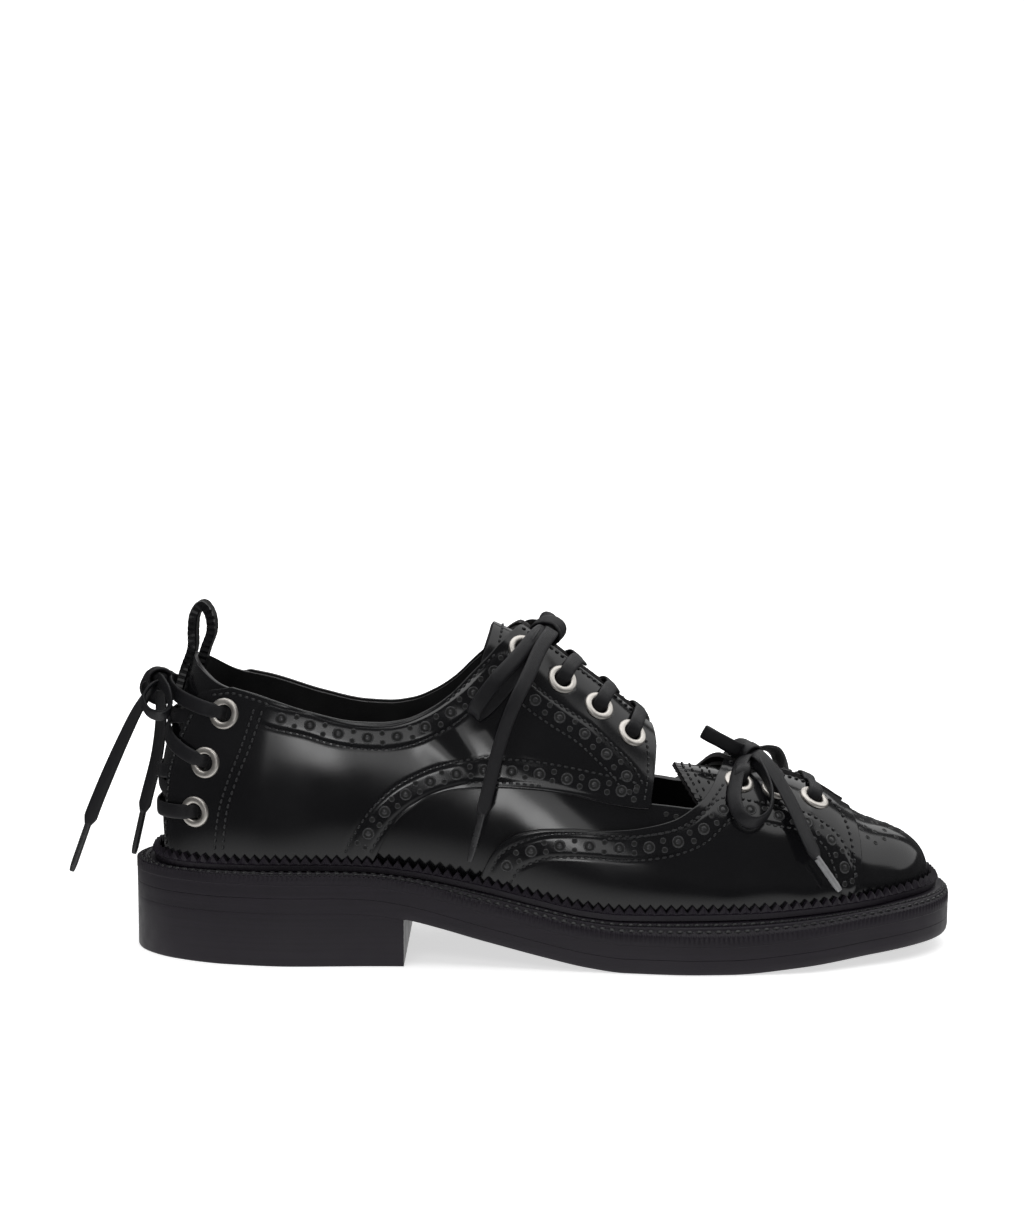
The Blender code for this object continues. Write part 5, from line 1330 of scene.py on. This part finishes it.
# %% Bows: routes in millimetres and width directions
# loops start and end at their knot, ends run from the knot to their tips
BOWS = {
    "throat_lace_loop_near": (
        [(1.6, -4.0, 108.4), (-0.6, -9.5, 109.2), (-4.2, -18.0, 106.8), (-9.4, -27.0, 101.6), (-15.4, -32.6, 95.8),
         (-20.6, -33.8, 89.2), (-23.2, -33.2, 84.9), (-22.0, -31.4, 83.8), (-17.2, -30.6, 87.8), (-11.6, -28.4, 94.4),
         (-7.0, -23.6, 100.6), (-3.0, -15.6, 105.6), (1.0, -6.0, 107.2)],
        [(0.7, -0.2, -0.5), (0.77, 0.05, -0.63), (0.77, 0.05, -0.63), (0.77, 0.05, -0.63), (0.7, -0.2, -0.5)]),
    "throat_lace_end_near": (
        [(2.0, -4.0, 108.4), (2.4, -10.5, 108.6), (-1.4, -21.0, 104.2), (-5.8, -32.6, 96.0), (-9.8, -37.4, 88.4),
         (-13.4, -38.2, 79.2), (-16.2, -38.2, 69.5), (-18.8, -38.6, 59.0), (-20.6, -38.8, 51.4)],
        [(0.85, 0.1, -0.5), (0.8, 0.25, -0.5), (0.85, 0.4, -0.3), (0.85, 0.5, -0.2), (0.85, 0.5, -0.2)]),
    "throat_lace_loop_far": (
        [(1.6, 1.4, 108.4), (-0.6, 6.0, 109.6), (-5.0, 14.0, 108.0), (-10.0, 22.5, 101.5), (-14.5, 28.0, 95.0),
         (-17.6, 30.4, 88.5), (-15.8, 28.6, 88.0), (-10.5, 25.0, 93.0), (-5.5, 20.0, 99.0), (-1.0, 11.0, 106.0),
         (2.0, 3.0, 107.0)],
        [(0.7, 0.2, -0.5), (0.75, 0.0, -0.65), (0.75, -0.1, -0.65), (0.7, 0.2, -0.5)]),
    "throat_lace_end_far": (
        [(2.0, 1.4, 108.4), (3.6, 7.0, 109.4), (3.0, 15.0, 107.0), (2.0, 24.0, 100.0), (0.0, 30.6, 90.0),
         (-2.6, 33.4, 79.0), (-5.2, 34.6, 69.0), (-7.6, 36.6, 58.0)],
        [(0.8, 0.0, -0.6), (0.9, 0.0, -0.4), (0.97, 0.0, -0.2)]),
    "vamp_lace_loop_rear": (
        [(70.0, -1.0, 66.0), (65.6, -2.6, 67.8), (61.0, -3.2, 70.2), (57.0, -2.8, 72.2), (55.0, -0.8, 73.2),
         (56.0, 1.2, 72.6), (60.0, 1.9, 70.2), (64.6, 1.7, 67.6), (69.5, 1.0, 65.2)],
        [(0.45, -0.1, 0.86), (0.45, -0.1, 0.86), (0.45, -0.1, 0.86)]),
    "vamp_lace_loop_near": (
        [(70.4, -3.4, 65.6), (67.4, -9.5, 65.0), (64.2, -19.5, 60.4), (62.7, -28.0, 55.0), (64.0, -33.4, 50.8),
         (68.2, -35.0, 48.4), (73.0, -33.2, 50.8), (75.2, -28.0, 55.6), (74.2, -19.0, 60.4), (71.9, -10.0, 64.2),
         (71.0, -4.0, 65.4)],
        [(0.9, -0.3, 0.3), (0.95, -0.15, 0.25), (0.95, -0.15, 0.25), (0.5, -0.35, 0.75), (-0.1, -0.5, 0.85),
         (0.2, -0.85, 0.4), (0.6, -0.6, 0.4)]),
    "vamp_lace_end_near": (
        [(71.0, -3.4, 66.0), (72.9, -9.0, 66.4), (76.6, -17.0, 62.4), (81.6, -26.4, 53.4), (86.0, -34.2, 43.2),
         (89.0, -37.4, 36.6)],
        [(0.7, 0.6, 0.35), (0.65, 0.65, 0.35), (0.65, 0.65, 0.35), (0.7, 0.6, 0.35)]),
    "vamp_lace_end_far": (
        [(71.0, 3.0, 66.2), (76.5, 6.5, 66.6), (80.9, 12.0, 64.6), (83.8, 19.0, 59.4), (85.8, 28.0, 53.0),
         (86.8, 35.5, 45.2), (87.0, 39.6, 38.2)],
        [(0.8, -0.5, 0.3), (0.85, -0.4, 0.3), (0.95, 0.0, 0.2)]),
    "heel_lace_loop_near": (
        [(-131.1, -3.0, 91.0), (-133.6, -7.0, 89.6), (-135.6, -9.0, 85.6), (-133.4, -11.0, 81.6), (-129.0, -13.6, 80.8),
         (-125.6, -15.6, 84.0), (-125.8, -15.0, 88.2), (-128.6, -9.6, 91.0), (-131.0, -4.0, 91.6)],
        [(0.3, -0.9, 0.2), (0.3, -0.75, 0.5), (0.3, -0.65, 0.65), (0.4, -0.75, 0.4), (0.4, -0.85, 0.3)]),
    "heel_lace_loop_far": (
        [(-131.1, 4.0, 91.6), (-134.6, 7.6, 92.2), (-138.4, 10.4, 90.4), (-138.8, 13.4, 86.0), (-135.0, 17.0, 82.2),
         (-130.0, 18.4, 83.0), (-128.4, 16.4, 87.0), (-129.6, 10.0, 90.6), (-131.0, 5.0, 91.2)],
        [(0.3, 0.5, 0.8), (0.3, 0.6, 0.7), (0.4, 0.75, 0.5), (0.4, 0.85, 0.3)]),
    "heel_lace_end_near": (
        [(-131.4, -1.6, 91.0), (-134.2, -3.0, 87.4), (-138.4, -4.2, 81.0), (-143.2, -5.8, 71.0), (-147.8, -7.0, 60.6),
         (-152.0, -7.8, 50.6), (-155.2, -8.0, 42.4)],
        [(0.75, -0.6, 0.2), (0.85, -0.35, 0.35), (0.9, -0.2, 0.4), (0.9, -0.2, 0.4)]),
    "heel_lace_end_far": (
        [(-131.4, 2.6, 90.6), (-131.8, 5.0, 85.0), (-132.4, 8.0, 77.0), (-133.4, 9.4, 69.0), (-134.8, 10.0, 61.4),
         (-137.4, 10.0, 51.6), (-139.6, 10.0, 43.4)],
        [(0.7, -0.7, 0.1), (0.8, -0.55, 0.15), (0.9, -0.4, 0.2), (0.9, -0.35, 0.25)])}
TIPS = {  # where each end's tip finishes
    "throat_lace_end_near": (-24.6, -38.8, 36.4), "throat_lace_end_far": (-10.0, 37.5, 46.0),
    "vamp_lace_end_near": (96.2, -39.0, 26.6), "vamp_lace_end_far": (87.0, 41.6, 27.0),
    "heel_lace_end_near": (-161.0, -8.0, 26.4), "heel_lace_end_far": (-143.0, 10.0, 28.6)}
TIP_THICK, TAPER = 2.3, 2.6


def lace_tip(name, start, end, finish):
    """Tip: a tight sleeve over the lace, cut off bluntly."""
    line = start + np.linspace(0.0, 1.0, 16)[:, None] * (end - start)
    run = unit(end - start)
    across = unit(np.cross(run, np.array([0.2, -0.9, 0.3])))
    other = np.cross(run, across)
    size = TIP_THICK / 2.0 * np.concatenate([[0.96], np.full(12, 1.0), [0.97, 0.9, 0.72]])
    angle = np.linspace(0.0, 2.0 * math.pi, 16, endpoint=False)
    spokes = across * np.cos(angle)[:, None] + other * np.sin(angle)[:, None]
    return dress(sweep(name, line[:, None] + size[:, None, None] * spokes, finish), "lace")


lace_lengths = {}
for name, (route, hints) in BOWS.items():
    line = rounded_route(route)
    length = length_along(line)[-1]
    width, thick, extra = LACE_WIDTH, LACE_THICK, {}
    if name in TIPS:
        taper = np.clip((length - length_along(line)) / TAPER, 0.0, 1.0)
        width = TIP_THICK + (LACE_WIDTH - TIP_THICK) * taper
        thick = TIP_THICK * 0.8 + (LACE_THICK - TIP_THICK * 0.8) * taper
        # The vamp tips take the pale copy: painted highlight.
        finish = tip_painted_highlight if name.startswith("vamp") else dark_tip
        extra = {"with_pieces": [lace_tip(name.replace("_end", "_tip"), line[-2], np.array(TIPS[name]), finish)]}
    piece = ribbon(name + "_dressed", line, spread_across(hints, len(line)), width, thick)
    dress(piece, "lace", name)
    lace_lengths[name] = round(float(length), 1)
print("bow lengths in mm", lace_lengths)


# %% Knots: two wraps of lace round a core
def eyelet_strand(group, side, middle, end, hints):
    """Route from inside the top eyelet of a lacing, over its rim, to a knot."""
    s, t = eyelet_at(group, 1)
    centre, axis = off_last(s, t, side, PANEL_FACE), last_normal(s, t, side)
    towards = unit(np.array(middle) - centre)
    return [centre - 3.5 * axis, centre + 1.0 * axis + 0.6 * towards, centre + 2.6 * axis + 3.4 * towards,
            np.array(middle), np.array(end)], hints


def knot(node, centre, axis, radius, strands):
    """Wrapped knot about an axis, with the strands that come to it from the top eyelets."""
    centre, axis = np.array(centre, float), unit(np.array(axis, float))
    first_dir = unit(np.cross(axis, (0.1, 0.3, 1.0)))
    other = np.cross(axis, first_dir)
    angle = np.linspace(0.0, 2.0 * math.pi, 40, endpoint=False)[:, None]
    made = []
    for lean, size, push in ((0.18, 1.0, 0.8), (-0.5, 0.92, -1.6)):
        ring = (centre + axis * (push + lean * radius * np.cos(angle)) + first_dir * radius * size * np.cos(angle)
                + other * 0.86 * radius * size * np.sin(angle))
        tilt = np.broadcast_to(unit(axis + lean * 0.5 * first_dir), ring.shape)
        made.append(ribbon(f"{node}_wrap_{len(made) + 1}", ring, tilt, 5.0, 1.3, closed=True))
    sizes = [(share, math.sqrt(max(1.0 - share ** 2, 0.0)) * (radius - 0.5)) for share in np.linspace(-1.0, 1.0, 12)]
    rings = [centre + axis * share * radius * 0.95 + size * (first_dir * np.cos(angle) + 0.84 * other * np.sin(angle))
             for share, size in sizes]
    made.append(sweep(f"{node}_core", np.array(rings), waxed_lace, uv_length=np.arange(13) * 0.8))
    for points, hints in strands:
        line = rounded_route(points)
        made.append(ribbon(f"{node}_strand_{len(made) - 2}", line, spread_across(hints, len(line))))
    for piece in made:
        dress(piece, "lace", *([node] if piece is made[0] else []))


knot("throat_lace_knot", (1.6, -1.3, 108.3), (-0.35, -0.75, -0.35), 5.2, [
    eyelet_strand("throat", LATERAL, (-2.6, -10.0, 108.0), (1.0, -2.0, 108.0), [(0.6, 0.3, 0.6), (0.6, 0.3, 0.6)]),
    eyelet_strand("throat", MEDIAL, (-2.6, 7.4, 108.0), (1.0, 0.0, 108.0), [(0.6, -0.3, 0.6), (0.6, -0.3, 0.6)])])
knot("vamp_lace_knot", (70.6, 0.0, 65.6), (0.45, -0.8, -0.2), 4.0, [
    eyelet_strand("vamp", LATERAL, (67.2, -11.0, 64.0), (70.0, -1.0, 65.0), [(0.9, 0.2, 0.2), (0.9, 0.3, 0.0)]),
    eyelet_strand("vamp", MEDIAL, (67.2, 11.6, 64.0), (70.0, 1.0, 65.0), [(0.9, -0.2, 0.2), (0.9, -0.3, 0.0)])])
knot("heel_lace_knot", (-131.1, 0.5, 91.4), (0.25, -0.95, 0.05), 4.0, [])
print("knots made")

# %% [markdown]
# ## Inside
# The insole closes the shoe inside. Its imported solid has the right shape, so it only gets the matt
# lining leather.

# %% Insole finish
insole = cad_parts["insole"]
insole.data.materials.clear()
insole.data.materials.append(lining)

# %% [markdown]
# ## Floor and light
# A pale table under a wide soft light. Polished black leather shows what stands round it: the pale
# table near the shoe, a dim room beyond it and the soft boxes above and in front. The table is lifted
# to white for the eye, and what the leather mirrors of it fades away from the shoe.

# %% Stage
floor_mesh = bpy.data.meshes.new("pale_floor")
floor_mesh.from_pydata([(-6, -6, 0), (6, -6, 0), (6, 6, 0), (-6, 6, 0)], [], [(0, 1, 2, 3)])
floor = bpy.data.objects.new("pale_floor", floor_mesh)
scene.collection.objects.link(floor)
pale = bpy.data.materials.new("pale_floor")
pale.use_nodes = True
tree = pale.node_tree
shader = tree.nodes["Principled BSDF"]
shader.inputs["Base Color"].default_value = (0.86, 0.86, 0.86, 1.0)
shader.inputs["Roughness"].default_value = 0.9
shader.inputs["Specular IOR Level"].default_value = 0.1
shader.inputs["Emission Color"].default_value = (1.0, 1.0, 1.0, 1.0)
path_info = add(tree, "ShaderNodeLightPath")
place = add(tree, "ShaderNodeTexCoord")
outside = place.outputs["Object"]
for operation, amount in (("ABSOLUTE", None), ("SUBTRACT", (0.13, 0.04, 0.0)), ("MAXIMUM", (0.0, 0.0, 0.0))):
    step = add(tree, "ShaderNodeVectorMath", operation=operation)
    if amount:
        step.inputs[1].default_value = amount
    link(tree, outside, step.inputs[0])
    outside = step.outputs["Vector"]
reach = add(tree, "ShaderNodeVectorMath", operation="LENGTH")
link(tree, outside, reach.inputs[0])


def fading(near, far, start, end):
    """Value that changes smoothly with the distance outside the shoe's plan."""
    fall = add(tree, "ShaderNodeMapRange", interpolation_type="SMOOTHSTEP")
    for key, value in (("From Min", near), ("From Max", far), ("To Min", start), ("To Max", end)):
        fall.inputs[key].default_value = value
    link(tree, reach.outputs["Value"], fall.inputs["Value"])
    return fall.outputs["Result"]


pool = add(tree, "ShaderNodeEmission")
choose = add(tree, "ShaderNodeMixShader")
link(tree, fading(0.10, 0.45, 0.62, 1.0), shader.inputs["Emission Strength"])
link(tree, fading(0.02, 0.15, 0.9, 0.04), pool.inputs["Strength"])
link(tree, path_info.outputs["Is Glossy Ray"], choose.inputs["Fac"])
link(tree, shader.outputs["BSDF"], choose.inputs[1])
link(tree, pool.outputs["Emission"], choose.inputs[2])
link(tree, choose.outputs["Shader"], tree.nodes["Material Output"].inputs["Surface"])
floor.data.materials.append(pale)

# %% Room and soft boxes
world = bpy.data.worlds.new("studio")
scene.world = world
world.use_nodes = True
tree = world.node_tree
path_info = add(tree, "ShaderNodeLightPath")
room = tree.nodes["Background"]
room.inputs["Color"].default_value = (1.0, 1.0, 1.0, 1.0)
room.inputs["Strength"].default_value = 0.2
white, dark = add(tree, "ShaderNodeBackground"), add(tree, "ShaderNodeBackground")
white.inputs["Color"].default_value = (1.0, 1.0, 1.0, 1.0)
white.inputs["Strength"].default_value = 1.1
dark.inputs["Strength"].default_value = 0.10
seen, mirrored = add(tree, "ShaderNodeMixShader"), add(tree, "ShaderNodeMixShader")
for source, target in ((path_info.outputs["Is Glossy Ray"], mirrored.inputs["Fac"]),
                       (room.outputs["Background"], mirrored.inputs[1]), (dark.outputs["Background"], mirrored.inputs[2]),
                       (path_info.outputs["Is Camera Ray"], seen.inputs["Fac"]),
                       (mirrored.outputs["Shader"], seen.inputs[1]), (white.outputs["Background"], seen.inputs[2]),
                       (seen.outputs["Shader"], tree.nodes["World Output"].inputs["Surface"])):
    link(tree, source, target)


def soft_box(name, place, aim, size, power, roll=0.0):
    """Rectangular lamp that looks at a point, rolled about its own axis."""
    light = bpy.data.lights.new(name, "AREA")
    light.shape = "RECTANGLE"
    light.size, light.size_y = size
    light.energy = power
    lamp = bpy.data.objects.new(name, light)
    lamp.location = place
    look = (Vector(aim) - Vector(place)).to_track_quat("-Z", "Y").to_matrix()
    lamp.rotation_euler = (look @ Matrix.Rotation(math.radians(roll), 3, "Z")).to_euler()
    scene.collection.objects.link(lamp)


soft_box("top_box", (0.0, 0.1, 1.3), (0.0, 0.0, 0.0), (2.0, 1.6), 14.0)
soft_box("front_strip", (-0.2, -1.0, 0.08), (0.0, 0.0, 0.05), (0.12, 0.14), 0.22, roll=20.0)
soft_box("front_glow", (-0.15, -1.02, 0.12), (0.0, 0.0, 0.05), (0.36, 0.22), 0.36, roll=34.0)
soft_box("front_box", (-0.3, -1.1, 0.95), (0.0, 0.0, 0.05), (0.6, 0.4), 2.0)
soft_box("toe_box", (1.25, 0.3, 0.85), (0.1, 0.0, 0.04), (1.2, 1.0), 4.0)
soft_box("back_box", (0.3, 1.2, 0.8), (0.0, 0.0, 0.05), (1.2, 0.6), 2.4)

# %% Clear the masters away and finish
for piece in masters.values():
    bpy.data.objects.remove(piece)
bpy.context.view_layer.update()
